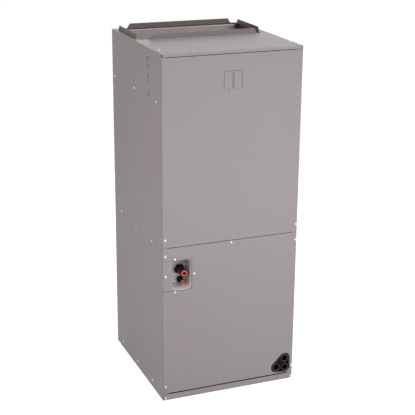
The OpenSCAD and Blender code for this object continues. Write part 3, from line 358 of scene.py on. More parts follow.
def brown_coat(name, colour):
    """A thin brown coat with an uneven film."""
    coat = Finish("cabinet_paint", colour, {"Specular IOR Level": 0.2}, name)
    film = coat.noise(0.03, 3)
    coat.shades(film, 0.93, 1.05)
    coat.gloss(0.48 + film * 0.14)
    return coat


def back_coat_and_shade():
    """The coat on the back of the painted sheet, which shows on the bent-up collars, and which also stands as
    painted shade on the left collar's outer face.
    """
    return brown_coat("back_coat_and_shade", (146, 129, 126))


def seam_shade_coat():
    """A dark brown coat on the divider, painted shade for the seam between the doors."""
    return brown_coat("seam_shade_coat", (106, 92, 90))


# Painted shade in the pocket: the height in metres where only the streaks are light, and how much the
# lightness falls in a metre
POCKET_SHADE_Z = 0.56
POCKET_SHADE_RATE = 4.5


def pocket_coat_with_painted_light():
    """The bright coat of the drawn pocket, with upright streaks from the press; its lightness is partly
    painted light on the walls and the rolled edge, and painted shade darkens it toward the top: the share of
    the light shade falls with the height."""
    coat = Finish("cabinet_paint", (214, 204, 203), {"Specular IOR Level": 0.4}, "pocket_coat_with_painted_light")
    streak = coat.noise(0.012, 3, (1, 1, 0.25))
    up = coat.sides()[1]
    coat.shades(streak * 0.5 + (POCKET_SHADE_Z - up) * POCKET_SHADE_RATE, 0.5, 1.1)
    coat.gloss(0.26 + streak * 0.14)
    return coat


def galvanised():
    """Zinc coated sheet with the spangle of its crystals."""
    zinc = Finish("galvanised", (176, 181, 186), {"Metallic": 0.9})
    crystal = zinc.node("ShaderNodeTexVoronoi", {"feature": "F1"}, {"Vector": zinc.place(), "Scale": 110})
    grey = Value(zinc, zinc.node("ShaderNodeSeparateColor", {}, {0: crystal.outputs["Color"]}).outputs[0])
    zinc.shades(grey, 0.82, 1.08)
    zinc.gloss(0.34 + grey * 0.16)
    return zinc


def insulation():
    """Foil facing over glass wool: creases and the threads of its backing."""
    foil = Finish("insulation", (212, 198, 193), {"Metallic": 0.15})
    crease = foil.noise(0.02, 4)
    foil.shades(crease, 0.86, 1.06)
    foil.gloss(0.42 + crease * 0.2)
    foil.relief(crease, 0.0012, 0.7)
    return foil


def black_plastic():
    """Moulded black plastic with a fine grain."""
    plastic = Finish("black_plastic", (14, 11, 18), {"Specular IOR Level": 0.12})
    grain = plastic.noise(0.0012, 2)
    plastic.shades(plastic.noise(0.03, 2), 0.85, 1.15)
    plastic.gloss(0.48 + grain * 0.12)
    plastic.relief(grain, 0.00003, 0.6)
    return plastic


def highlit_polished_edges():
    """The raised edges of the black plastic, polished by the mould, which catch the light; their grey,
    lighter than the plastic, is a painted highlight.
    """
    edge = Finish("black_plastic", (50, 43, 54), {"Specular IOR Level": 0.7}, "highlit_polished_edges")
    edge.gloss(0.1 + edge.noise(0.004, 2) * 0.12)
    edge.shades(edge.noise(0.01, 2), 0.8, 1.2)
    return edge


def white_nylon():
    """Milky moulded nylon of the board's sockets."""
    nylon = Finish("dark_parts", (222, 219, 208), {}, "white_nylon")
    haze = nylon.noise(0.004, 2)
    nylon.shades(haze, 0.92, 1.03)
    nylon.gloss(0.42 + haze * 0.12)
    return nylon


def black_rubber():
    """Dull black rubber."""
    rubber = Finish("black_rubber", (15, 14, 17), {"Specular IOR Level": 0.2})
    bloom = rubber.noise(0.006, 3)
    rubber.shades(bloom, 0.8, 1.3)
    rubber.gloss(0.18 + bloom * 0.14)
    return rubber


def copper():
    """Drawn copper tube with patches of tarnish."""
    tube = Finish("copper", (184, 116, 86), {"Metallic": 1.0})
    tarnish = tube.noise(0.018, 4)
    tube.shades(tarnish, 0.72, 1.08)
    tube.gloss(0.24 + tarnish * 0.2)
    return tube


def valve_brass():
    """Turned brass."""
    brass = Finish("valve_brass", (205, 172, 104), {"Metallic": 1.0})
    marks = brass.noise(0.004, 3, (1, 1, 8))
    brass.shades(marks, 0.85, 1.05)
    brass.gloss(0.26 + marks * 0.14)
    return brass


def coil_fins():
    """Thin aluminium sheet, a little dull."""
    fin = Finish("coil_fins", (196, 199, 202), {"Metallic": 0.9})
    streak = fin.noise(0.006, 3, (1, 1, 0.2))
    fin.shades(streak, 0.85, 1.05)
    fin.gloss(0.36 + streak * 0.15)
    return fin


def motor_black():
    """Black enamel over a steel shell."""
    shell = Finish("motor_black", (38, 38, 41), {})
    dust = shell.noise(0.02, 4)
    shell.shades(dust, 0.85, 1.4)
    shell.gloss(0.3 + dust * 0.2)
    return shell


def circuit_green():
    """Solder mask over copper tracks."""
    mask = Finish("circuit_green", (38, 96, 62), {})
    tracks = mask.node("ShaderNodeTexBrick", {"offset": 0.5}, {
        "Vector": mask.place(turn=(90, 0, 0)), "Scale": 110, "Mortar Size": 0.06, "Color1": (0, 0, 0, 1),
        "Color2": (0, 0, 0, 1), "Mortar": (1, 1, 1, 1)})
    line = Value(mask, mask.node("ShaderNodeSeparateColor", {}, {0: tracks.outputs["Color"]}).outputs[0])
    mask.shades(line, 0.9, 1.5)
    mask.gloss(0.3 - line * 0.08)
    return mask


def dark_parts():
    """Dark moulded electrical parts."""
    part = Finish("dark_parts", (52, 52, 56), {})
    grain = part.noise(0.004, 3)
    part.shades(grain, 0.85, 1.2)
    part.gloss(0.38 + grain * 0.15)
    return part


def can_metal():
    """Drawn aluminium can."""
    can = Finish("can_metal", (190, 193, 197), {"Metallic": 1.0})
    lines = can.noise(0.003, 3, (1, 1, 0.1))
    can.shades(lines, 0.88, 1.04)
    can.gloss(0.25 + lines * 0.12)
    return can


def zinc_screws():
    """Bright zinc plating with a blue cast."""
    zinc = Finish("zinc_screws", (214, 222, 236), {"Metallic": 0.85})
    haze = zinc.noise(0.003, 3)
    zinc.shades(haze, 0.9, 1.06)
    zinc.gloss(0.26 + haze * 0.14)
    return zinc


def card_frame():
    """Pressed paperboard with loose fibres."""
    card = Finish("card_frame", (150, 126, 96), {"Roughness": 0.85})
    fibre = card.noise(0.002, 4, (1, 6, 1))
    card.shades(fibre, 0.86, 1.1)
    card.relief(fibre, 0.00008, 0.6)
    return card


def filter_paper():
    """Pale pleated media."""
    paper = Finish("filter_paper", (214, 217, 219), {"Roughness": 0.9})
    fibre = paper.noise(0.0016, 4)
    paper.shades(fibre, 0.88, 1.05)
    paper.relief(fibre, 0.0001, 0.6)
    return paper


def red_plastic():
    """Red moulded plastic of the shipping plugs."""
    plastic = Finish("red_plastic", (238, 62, 48), {})
    flow = plastic.noise(0.008, 2)
    plastic.shades(flow, 0.9, 1.06)
    plastic.gloss(0.28 + flow * 0.12)
    return plastic


def shaft_steel():
    """Ground steel."""
    steel = Finish("shaft_steel", (168, 170, 174), {"Metallic": 1.0})
    rings = steel.noise(0.004, 3, (12, 1, 1))
    steel.shades(rings, 0.85, 1.05)
    steel.gloss(0.22 + rings * 0.12)
    return steel


FINISHES = {f.name: f for f in (make() for make in (
    cabinet_paint, side_shade_paint, back_coat_and_shade, seam_shade_coat, pocket_coat_with_painted_light, galvanised, insulation, black_plastic,
    highlit_polished_edges, white_nylon, black_rubber, copper, valve_brass, coil_fins, motor_black, circuit_green,
    dark_parts, can_metal, zinc_screws, card_frame, filter_paper, red_plastic, shaft_steel))}


def dress_nodes():
    """Gives every CAD node the finish of its slot in the record."""
    for part in frame["record"]["subparts"]:
        node = nodes[part["node"]]
        node.data.materials.clear()
        node.data.materials.append(FINISHES[part["material_slot"]].material)


# Screws

# Heights are from the face that the head rests on
SCREW_NODES = ("case_screws", "rear_screws", "top_screws", "line_plate_screw", "control_screws",
               "upper_door_screws", "lower_door_screws", "filter_cover_screw")
WASHER_R = 4.25
HEX_R = 3.175
HEAD_H = 4.5
SHANK_R = 2.1
SLOT_W = 1.2
SLOT_D = 1.3
SHANK_END = -9.0
THREADS = 6
THREAD_PITCH = 1.1
THREAD_ROOT_R = SHANK_R * 0.74
HEAD_FROM_R = SHANK_R * 1.2
HEAD_STEPS = 24
SCREW_SEED = 7


def screw_shape():
    """A hex washer head over a threaded shank, head up, as a profile turned about Z.
    The hexagon's top is cut by a slot: points nearer than half the slot's width to the X axis are lowered."""
    profile = [(0, SHANK_END, 0), (0.7, SHANK_END + 0.3, 0)]
    for turn in range(THREADS):
        low = SHANK_END + 1.8 + turn * THREAD_PITCH
        profile += [(THREAD_ROOT_R, low, 0), (SHANK_R, low + 0.45, 0), (THREAD_ROOT_R, low + 0.9, 0)]
    profile += [(SHANK_R * 0.9, -0.1, 0), (WASHER_R - 0.3, 0, 0), (WASHER_R, 0.3, 0),
                (WASHER_R - 0.1, 0.7, 0), (HEX_R + 0.45, 1.0, 0.5), (HEX_R, 1.15, 1),
                (HEX_R, HEAD_H - 0.6, 1), (HEX_R - 0.1, HEAD_H - 0.15, 0.6), (HEX_R - 0.5, HEAD_H, 0.2)]
    for r in (2.2, SLOT_W / 2 + 0.15, SLOT_W / 2, 0.0):
        profile.append((r, HEAD_H, 0))
    grid = turned(profile, HEAD_STEPS, 6)
    across = np.abs(grid[..., 1])
    cut = (grid[..., 2] > HEAD_H - 0.1) & (across < SLOT_W / 2)
    grid[..., 2] -= np.where(cut, SLOT_D, 0)
    return grid


def screws_of(node):
    """Seat and head direction of each screw of a CAD node: the axis is its longest side, and the head is
    at the end where the points lie farther from that axis."""
    for points in islands(node):
        low = points.min(0)
        high = points.max(0)
        axis = int(np.argmax(high - low))
        middle = (low + high) / 2
        off = np.delete(points - middle, axis, 1)
        wide = np.linalg.norm(off, axis=1) > HEAD_FROM_R * MM
        sign = 1 if points[wide, axis].mean() > middle[axis] else -1
        seat = middle.copy()
        seat[axis] = (high[axis] if sign > 0 else low[axis]) - sign * HEAD_H * MM
        direction = np.zeros(3)
        direction[axis] = sign
        yield seat, direction


def make_screws():
    """Every screw of the CAD nodes as a slotted hex washer head, each turned its own way."""
    chance = np.random.default_rng(SCREW_SEED)
    local = screw_shape() * MM
    for node in SCREW_NODES:
        shape = Shape()
        for seat, direction in screws_of(node):
            turn = chance.uniform(0, math.pi)
            spin = np.array([[math.cos(turn), math.sin(turn), 0],
                             [-math.sin(turn), math.cos(turn), 0], [0, 0, 1]])
            shape.add(local @ spin @ facing(direction) + seat, wrap=True)
        piece = shape.make("hex_" + node, "zinc_screws", node)
        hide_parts(node)


# Sheet metal with soft edges

# Faces that meet at less than FLAT_ANGLE degrees are made one. An edge is rounded where its faces meet at
# more than SOFT_ANGLE degrees and it is longer than SOFT_LENGTH.
FLAT_ANGLE = 0.5
SOFT_ANGLE = 40
SOFT_LENGTH = 2.5
COLLAR_H = 18.5
COLLAR_RIGHT = 239
COLLAR_FRONT = 15.5
COLLAR_REAR = 272.5
# How far below the filter cover's top its faces take the painted shade of the gap
GAP_SHADE_T = 1.0
SOFT_EDGES = {
    "left_side": 0.4, "right_side": 0.4, "rear_panel": 0.4, "top_panel": 0.4, "upper_door": 0.4,
    "lower_door": 0.4, "filter_cover": 0.4, "base_pan": 0.3, "coil_divider": 0.3, "blower_deck": 0.3,
    "control_panel": 0.3, "heater_cover": 0.3, "left_insulation": 2.5, "right_insulation": 2.5,
    "rear_insulation": 2.5, "upper_door_insulation": 2.5, "lower_door_insulation": 2.5,
    "filter_frame": 0.8, "transformer": 0.6, "fan_relay": 1.2}


def softened(node, name, width):
    """Stands for a CAD node: a copy with its points merged, its flat faces whole again and every long
    sharp edge rounded by that width in mm."""
    mesh = nodes[node].data.copy()
    work = bmesh.new()
    work.from_mesh(mesh)
    bmesh.ops.remove_doubles(work, verts=work.verts, dist=MERGE)
    bmesh.ops.dissolve_limit(work, angle_limit=math.radians(FLAT_ANGLE), verts=work.verts, edges=work.edges)
    weight = work.edges.layers.float.new("bevel_weight_edge")
    for edge in work.edges:
        sharp = len(edge.link_faces) == 2 and edge.calc_face_angle() > math.radians(SOFT_ANGLE)
        edge[weight] = float(sharp and edge.calc_length() > SOFT_LENGTH * MM)
    work.to_mesh(mesh)
    work.free()
    mesh.shade_flat()
    piece = new_piece(name, mesh, FINISHES[slot_of_node[node]], body_of_node[node])
    bevel = piece.modifiers.new("soft edges", "BEVEL")
    bevel.width = width * MM
    bevel.segments = 2
    bevel.limit_method = "WEIGHT"
    bevel.use_clamp_overlap = False
    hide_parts(node)


def coat_collars(panel):
    """The collars' faces that look into the outlet show the sheet's back coat; the left collar's outer face
    takes the same coat as painted shade.
    """
    centre, normal = face_places(panel.data)
    raised = centre[:, 2] > in_mm(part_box("top_panel"))[1, 2] - COLLAR_H
    right = (normal[:, 0] > 0.5) & (centre[:, 0] > COLLAR_RIGHT)
    front = (normal[:, 1] < -0.5) & (centre[:, 1] < COLLAR_FRONT)
    rear = (normal[:, 1] > 0.5) & (centre[:, 1] > COLLAR_REAR)
    upright = np.abs(normal[:, 2]) < 0.5
    # The left collar's outer face is coated too: painted shade
    coat_faces(panel.data, "back_coat_and_shade", raised & upright & ~(right | front | rear))


def shade_cover_gap(cover):
    """The filter cover's top faces are painted black as the shade in the gap above the cover."""
    centre, normal = face_places(cover.data)
    top = centre[:, 2] > in_mm(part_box("filter_cover"))[1, 2] - GAP_SHADE_T
    coat_faces(cover.data, "black_rubber", top & (normal[:, 2] > 0.5))


def make_soft_edges():
    """The sheets and blocks of the CAD nodes with the small radius that a press or a mould leaves."""
    for node, width in SOFT_EDGES.items():
        softened(node, "soft_" + node, width)
    coat_collars(bpy.data.objects["soft_top_panel"])
    shade_cover_gap(bpy.data.objects["soft_filter_cover"])
    # Painted shade: the sides take the darker, warmer copy of the paint, and the divider the dark coat that
    # stands for the seam's shade
    for piece, finish in (("soft_left_side", "side_shade_paint"), ("soft_right_side", "side_shade_paint"),
                          ("soft_coil_divider", "seam_shade_coat")):
        bpy.data.objects[piece].data.materials[0] = FINISHES[finish].material


# Line plate

# The pocket's place is from the plate's left and lower edges, and its walls lean by so much at the back
SUCTION_TUBE_R = 11.1
LIQUID_TUBE_R = 4.75
BOOT_WALL = 3.0
SUCTION_HOLE_R = SUCTION_TUBE_R + BOOT_WALL
LIQUID_HOLE_R = LIQUID_TUBE_R + BOOT_WALL
POCKET_W = 70.0
POCKET_H = 111.0
POCKET_R = 18.0
POCKET_D = 51.0
POCKET_IN = 37.1
POCKET_UP = 19.0
POCKET_EDGE = 4.5
POCKET_BACK = 2.0
POCKET_LIGHT_FROM = 0.4
LEAN_SIDE = 1.5
LEAN_LOW = 9.0
LEAN_TOP = 1.5
PLATE_T = 1.0
PLATE_R = 1.0
PLATE_RIM = 0.5
HOLE_WEB = 5.0
RUN = 6
ARC = 9
EDGE_TURN = np.concatenate([[-0.05], np.linspace(0, math.pi / 2, 7)])
BACK_TURN = np.concatenate([[-1.5], np.linspace(0, math.pi / 2, 5), [math.pi / 2 + 0.1]])


def rounded(left, right, low, high, radius, middle):
    """A closed outline in (x, z), anticlockwise from height middle on the right side: straight runs and
    quarter circles, always with the same number of points, so that outlines of any size match."""
    turn = np.linspace(0, math.pi / 2, ARC)
    arc = radius * np.stack([np.cos(turn), np.sin(turn)], -1)
    part = []

    def run(start, end, count):
        """Adds the points of a straight run without its two ends."""
        share = np.linspace(0, 1, count + 1)[1:-1, None]
        part.append(np.array(start) + (np.array(end) - np.array(start)) * share)

    part.append([[right, middle]])
    run((right, middle), (right, high - radius), RUN)
    part.append(np.array([right - radius, high - radius]) + arc)
    run((right - radius, high), (left + radius, high), 2 * RUN)
    part.append(np.array([left + radius, high - radius]) + arc[::-1] * [-1, 1])
    run((left, high - radius), (left, middle), RUN)
    part.append([[left, middle]])
    run((left, middle), (left, low + radius), RUN)
    part.append(np.array([left + radius, low + radius]) - arc)
    run((left + radius, low), (right - radius, low), 2 * RUN)
    part.append(np.array([right - radius, low + radius]) + arc[::-1] * [1, -1])
    run((right, low + radius), (right, middle), RUN)
    return np.concatenate(part)


def flat_to_hole(outline, centre, radius, y):
    """A flat ring at depth y from an outline to a circle: each point goes to the circle on its own ray."""
    ray = outline - centre
    ray /= np.linalg.norm(ray, axis=1, keepdims=True)
    return np.stack([np.insert(o, 1, y, axis=1) for o in (outline, centre + radius * ray)])


def make_line_plate():
    """The plate behind the door's notch. Its outline shrinks from the plate's edge to the pocket's rolled
    edge, round that edge on a quarter circle, down the leaning walls and round a small radius to the back.
    A row just before or past a quarter circle keeps the flat beside it flat. The back is split between the
    two tubes, and each half closes on its tube's hole."""
    low, high = in_mm(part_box("line_plate"))
    suction = middle_of("suction_grommet")[[0, 2]]
    liquid = middle_of("liquid_grommet")[[0, 2]]
    split = suction[1] - SUCTION_HOLE_R - HOLE_WEB
    left = low[0] + POCKET_IN
    right = left + POCKET_W
    bottom = low[2] + POCKET_UP
    top = bottom + POCKET_H
    front = low[1]
    depth = POCKET_D - PLATE_T
    rows = [(rounded(low[0] + d, high[0] - d, low[2] + d, high[2] - d, PLATE_R, split), 0.0)
            for d in (0, PLATE_RIM)]
    for angle in EDGE_TURN:
        out = POCKET_EDGE * (1 - math.sin(angle))
        rows.append((rounded(left - out, right + out, bottom - out, top + out, POCKET_R + out, split),
                     POCKET_EDGE * (1 - math.cos(max(angle, 0)))))
    for angle in BACK_TURN:
        down = depth - POCKET_BACK * (1 - math.sin(min(angle, math.pi / 2)))
        lean = down / depth
        inset = POCKET_BACK * (1 - math.cos(max(angle, 0)))
        rows.append((rounded(left + LEAN_SIDE * lean + inset, right - LEAN_SIDE * lean - inset,
                             bottom + LEAN_LOW * lean + inset, top - LEAN_TOP * lean - inset,
                             POCKET_R - inset, split), down))
    shape = Shape()
    shape.add(np.stack([np.insert(outline, 1, front + y, axis=1) for outline, y in rows]) * MM, wrap=True)
    back = rows[-1][0]
    half = 4 * RUN + 2 * ARC - 2
    across = np.linspace(back[half], back[0], 2 * RUN)[1:-1]
    upper = np.concatenate([back[:half + 1], across])
    lower = np.concatenate([back[half:], back[:1], across[::-1]])
    shape.add(flat_to_hole(upper, suction, SUCTION_HOLE_R, front + depth) * MM, wrap=True)
    shape.add(flat_to_hole(lower, liquid, LIQUID_HOLE_R, front + depth) * MM, wrap=True)
    plate = shape.make("pressed_line_plate", "cabinet_paint", "line_plate", closed=False)
    centre = face_places(plate.data)[0]
    # The pocket and its rolled edge take the lighter coat, partly painted light
    coat_faces(plate.data, "pocket_coat_with_painted_light", centre[:, 1] > front + POCKET_LIGHT_FROM)
    wall = plate.modifiers.new("sheet", "SOLIDIFY")
    wall.thickness = PLATE_T * MM
    wall.offset = -1
    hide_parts("line_plate")


# The plug's place is from the pocket's back and from the suction grommet's middle
STUD_R = 3.8
STUD_OUT = 2.8
STUD_Y = 8.0
STUD_Z = 6.0
STUD_SINK = 0.3
STUD_NECK = 0.9
STUD_NECK_R = 2.3
STUD_RINGS = 7
STUD_STEPS = 24


def make_stud():
    """The black plug in the small hole of the pocket's right wall: a turned dome on a short neck."""
    low = in_mm(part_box("line_plate"))[0]
    seat = [low[0] + POCKET_IN + POCKET_W - LEAN_SIDE, low[1] + POCKET_D - STUD_Y,
            middle_of("suction_grommet")[2] + STUD_Z]
    angle = np.linspace(math.pi / 2, 0, STUD_RINGS)
    dome = np.stack([STUD_R * np.cos(angle), STUD_OUT * np.sin(angle)], -1)
    profile = np.concatenate([dome, [(STUD_R, -STUD_SINK), (STUD_NECK_R, -STUD_SINK),
                                     (STUD_NECK_R, -STUD_NECK), (0, -STUD_NECK)]])
    shape = Shape()
    shape.add((turned(profile, STUD_STEPS) @ facing((-1, 0, 0)) + seat) * MM, wrap=True)
    shape.make("wall_plug", "black_rubber", "line_plate", soft=50)


# Grommets and plugs

SUCTION_BOOT = 22
LIQUID_BOOT = 10
SUCTION_SKIRT_R = 9.9
LIQUID_SKIRT_R = 3.55
SUCTION_BLIND_R = 5.6
LIQUID_BLIND_R = 2.4
FRONT_LIP = 4.0
REAR_LIP = 4.0
PLUG_SKIRT = 12
PLUG_WALL = 1.5
SLEEVE_GAP = 0.6
GROMMET_STEPS = 48
PLUG_STEPS = 72
PLUG_LOBES = 6
PLUG_WAVE = 0.26


def make_grommet(node, tube, boot, plug):
    """A rubber grommet turned about its tube: a rear lip, the neck, a front lip with two raised rings and
    a boot that grips the tube up to its plug's head, each with rounded edges."""
    low, high = in_mm(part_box(node))
    low[1] = in_mm(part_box(plug))[0, 1] + plug_head(plug) + SLEEVE_GAP
    lip = (high[0] - low[0]) / 2
    neck = tube + BOOT_WALL
    rear = high[1] - low[1]
    wall = rear - REAR_LIP
    face = wall - FRONT_LIP
    ring = (lip - neck) / 4
    profile = [(tube, 0.6), (tube + 0.5, 0), (neck - 1.1, 0), (neck - 0.6, 0.5), (neck - 0.5, boot * 0.55),
               (neck + 0.5, face - 1.2), (neck + 1.2, face - 0.3)]
    for k in (1, 3):
        middle = neck + k * ring
        profile += [(middle - 0.75 * ring, face), (middle - 0.4 * ring, face - 0.7), (middle, face - 0.9),
                    (middle + 0.4 * ring, face - 0.7), (middle + 0.75 * ring, face)]
    profile += [(lip - 0.6, face + 0.4), (lip, face + 1.4), (lip, wall - 0.3), (lip - 0.4, wall),
                (neck, wall), (neck, wall + 1), (lip - 0.4, wall + 1), (lip, wall + 1.4), (lip, rear - 1),
                (lip - 0.8, rear), (tube, rear), (tube, 0.6)]
    seat = [(low[0] + high[0]) / 2, low[1], (low[2] + high[2]) / 2]
    grid = turned(profile, GROMMET_STEPS) @ facing((0, 1, 0)) + seat
    shape = Shape()
    shape.add(grid * MM, wrap=True)
    piece = shape.make("moulded_" + node, "black_rubber", node, soft=50)
    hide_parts(node)


def plug_head(node):
    """How thick a plug's head is: all of its length but the skirt in the tube."""
    low, high = in_mm(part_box(node))
    return high[1] - low[1] - PLUG_SKIRT


def make_plug(node, skirt, bore):
    """A red plug: a skirt in the tube and a head whose radius swells and shrinks once per lobe, with
    rounded edges and a blind hole whose walls are painted black as its shade. A profile point's third value
    says how much of the wave it takes."""
    low, high = in_mm(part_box(node))
    head = (high[0] - low[0]) / 2
    reach = high[1] - low[1]
    thick = plug_head(node)
    hole = reach - PLUG_WALL
    profile = np.array([
        (0, hole, 0), (bore - 0.4, hole, 0), (bore, hole - 0.5, 0), (bore, 0.5, 0), (bore + 0.5, 0, 0),
        (head * 0.72, 0, 0.6), (head * 0.9, 0.3, 1), (head * 0.98, 0.9, 1), (head, 1.8, 1),
        (head, thick - 1.2, 1), (head * 0.95, thick - 0.3, 1), (head * 0.85, thick, 0.6), (skirt, thick, 0),
        (skirt, reach - 1, 0), (skirt - 0.8, reach, 0), (0, reach, 0)])
    grid = turned(profile[:, :2], PLUG_STEPS)
    angle = np.arange(PLUG_STEPS) * 2 * math.pi / PLUG_STEPS
    swell = 1 - PLUG_WAVE * profile[:, 2:3] * (1 - np.cos(PLUG_LOBES * angle)) / 2
    grid[..., :2] *= swell[..., None]
    seat = [(low[0] + high[0]) / 2, low[1], (low[2] + high[2]) / 2]
    grid = grid @ facing((0, 1, 0)) + seat
    shape = Shape()
    shape.add(grid * MM, wrap=True)
    piece = shape.make("lobed_" + node, "red_plastic", node, soft=45)
    across, deep, up = (face_places(piece.data)[0] - seat).T
    # The blind hole's faces are painted black as the shade inside it
    shaded_bore = (np.hypot(across, up) < bore) & (deep > 0.4) & (deep < hole + 0.2)
    coat_faces(piece.data, "black_rubber", shaded_bore)
    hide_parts(node)


# Drain boss edges, and dark strips that paint shade

# The ports' middles in (x, z), the door's notch and the gaps at the ends of the top's lip
PORTS = np.array([[232.5, 90.0], [198.5, 56.0], [234.5, 52.0]])
PORT_EDGE_R = 13.2
BOSS_EDGE_R = 18.8
BEAD_R = 1.05
BOSS_Y = -284.0
NOTCH_RIGHT = -153.0
NOTCH_LOW = 438.0
NOTCH_TOP = 556.0
NOTCH_R = 6.0
# The dark strips are painted shade: along the notch, and in the gaps at the lip's ends
NOTCH_SHADE_R = 0.45
LIP_GAP_X = 264.2
LIP_GAP_Z = (1296.5, 1305.5)
LIP_GAP_Y = -283.0
LIP_SHADE_R = 1.3
NOTCH_SHADE_IN = 1.0
NOTCH_SHADE_SINK = 0.1
STRIP_STEPS = 10
BEAD_STEPS = 96
NOTCH_STEPS = 19


def strip(path, out, thick, y):
    """A round strip along a path in (x, z) at depth y: a small circle stands at each of its points, across
    the path on its outward direction."""
    turn = np.arange(STRIP_STEPS) * 2 * math.pi / STRIP_STEPS
    across = path[:, None] + thick * np.cos(turn)[None, :, None] * out[:, None]
    depth = np.broadcast_to(y - thick * np.sin(turn), across.shape[:2])
    return np.stack([across[..., 0], depth, across[..., 1]], -1)


def bead(centres, radius, y):
    """A round bead along the outline of circles joined by straight lines. In each direction the outline's
    point is the centre that reaches farthest, moved out by the radius."""
    angle = np.arange(BEAD_STEPS + 1) * 2 * math.pi / BEAD_STEPS
    out = np.stack([np.cos(angle), np.sin(angle)], -1)
    path = centres[np.argmax(out @ centres.T, axis=1)] + radius * out
    return strip(path, out, BEAD_R, y)


def capped(grid):
    """Closes both ends of a strip: a row more at each, with all of its points at the end's middle."""
    ends = [np.broadcast_to(grid[k].mean(0), grid[:1].shape) for k in (0, -1)]
    return np.concatenate([ends[0], grid, ends[1]])


def make_shade_strips():
    """Dark strips as painted shade: a thin one on the line plate along the door's notch, and one that fills
    the gap at each end of the top's front lip. The notch's path is three lines joined by two quarter circles."""
    low = in_mm(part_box("line_plate"))[0]
    left = low[0] + NOTCH_SHADE_IN
    shape = Shape()
    angle = np.linspace(math.pi / 2, -math.pi / 2, NOTCH_STEPS)
    out = np.stack([np.cos(angle), np.sin(angle)], -1)
    corner = NOTCH_R - NOTCH_SHADE_R
    across = NOTCH_RIGHT - NOTCH_R
    upper = [across, NOTCH_TOP - NOTCH_R]
    lower = [across, NOTCH_LOW + NOTCH_R]
    turn = np.where(angle[:, None] >= 0, upper, lower) + corner * out
    path = np.concatenate([[[left, turn[0, 1]]], turn, [[left, turn[-1, 1]]]])
    out = np.concatenate([out[:1], out, out[-1:]])
    shape.add(capped(strip(path, out, NOTCH_SHADE_R, low[1] - NOTCH_SHADE_SINK)) * MM, wrap=True)
    aside = np.array([[1.0, 0.0], [1.0, 0.0]])
    for x in (-LIP_GAP_X, LIP_GAP_X):
        path = np.array([[x, z] for z in LIP_GAP_Z])
        shape.add(capped(strip(path, aside, LIP_SHADE_R, LIP_GAP_Y)) * MM, wrap=True)
    shape.make("shade_strips", "black_rubber", "line_plate", soft=60)


def make_boss_edges():
    """The raised edge round the drain boss and round each of its three ports."""
    shape = Shape()
    shape.add(bead(PORTS, BOSS_EDGE_R, BOSS_Y) * MM, wrap=True)
    for port in PORTS:
        shape.add(bead(port[None], PORT_EDGE_R, BOSS_Y) * MM, wrap=True)
    shape.make("drain_boss_edges", "highlit_polished_edges", "drain_pan", soft=60)


# Coil

# The foot of each slab's middle line, and its lean in degrees
SLAB_X = 175.0
SLAB_Z = 41.08
SLAB_TILT = 17.4
SLAB_L = 495.0
SLAB_HALF = 22.0
FIN_PITCH = 2.2
FIN_T = 0.16
FIN_WAVE = 0.45
FIN_FOLDS = 8
TUBE_ROW = 11.0
TUBE_R = 4.76
TUBE_FOOT = 15.3
TUBE_PITCH = 25.4
TUBE_COUNT = 19
TUBE_STEPS = 12


def on_slab(points, side):
    """Takes points drawn on an upright slab to the leaning one: turned about Y, then moved to its foot."""
    tilt = math.radians(-side * SLAB_TILT)
    x, y, z = np.moveaxis(np.asarray(points, float), -1, 0)
    return np.stack([x * math.cos(tilt) + z * math.sin(tilt) + side * SLAB_X, y,
                     z * math.cos(tilt) - x * math.sin(tilt) + SLAB_Z], -1)


def make_fin_pack(node, side):
    """Thin fins stacked along the coil: each is a zigzag across the slab, drawn out over its length and
    closed to a thin wall. The row of fins is one array, moved by the pitch."""
    low, high = in_mm(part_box(node))
    fold = np.linspace(-1, 1, FIN_FOLDS + 1)
    wave = FIN_WAVE * np.where(np.arange(FIN_FOLDS + 1) % 2, 1, -1)
    front = np.stack([fold * SLAB_HALF, wave], -1)
    outline = np.concatenate([front, front[::-1] + [0, FIN_T]])
    wall = np.stack([np.insert(outline, 2, z, axis=1) for z in (0.0, SLAB_L)])
    count = int((high[1] - low[1] - 2 * FIN_WAVE - FIN_T) / FIN_PITCH) + 1
    places = low[1] + FIN_WAVE + np.arange(count) * FIN_PITCH
    fins = wall[None] + places[:, None, None, None] * np.array([0, 1, 0])
    shape = Shape()
    shape.add(on_slab(fins, side) * MM, wrap=True)
    half = FIN_FOLDS + 1
    for row in (0, 1):
        cap = np.stack([fins[:, row, :half], fins[:, row, half:][:, ::-1]], 1)
        shape.add(on_slab(cap, side) * MM)
    piece = shape.make("fins_" + node, "coil_fins", node, soft=20)
    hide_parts(node)


def make_coil_tubes():
    """The straight copper tubes through the fins: one circle drawn out along Y, repeated over both rows,
    all heights and both slabs."""
    ends = in_mm(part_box("coil_slab_left")) * [0, 1, 0]
    turn = np.arange(TUBE_STEPS) * 2 * math.pi / TUBE_STEPS
    ring = np.stack([np.cos(turn) * TUBE_R, np.zeros(TUBE_STEPS), np.sin(turn) * TUBE_R], -1)
    closed = ring * 0
    tube = np.stack([closed + ends[0], ring + ends[0], ring + ends[1], closed + ends[1]])
    x, z = np.meshgrid([-TUBE_ROW, TUBE_ROW], TUBE_FOOT + TUBE_PITCH * np.arange(TUBE_COUNT))
    seats = np.stack([x.ravel(), np.zeros(x.size), z.ravel()], -1)
    shape = Shape()
    for side in (-1, 1):
        shape.add(on_slab(tube[None] + seats[:, None, None], side) * MM, wrap=True)
    shape.make("coil_tubes", "copper", "coil_slab_left", soft=50)


# Control board

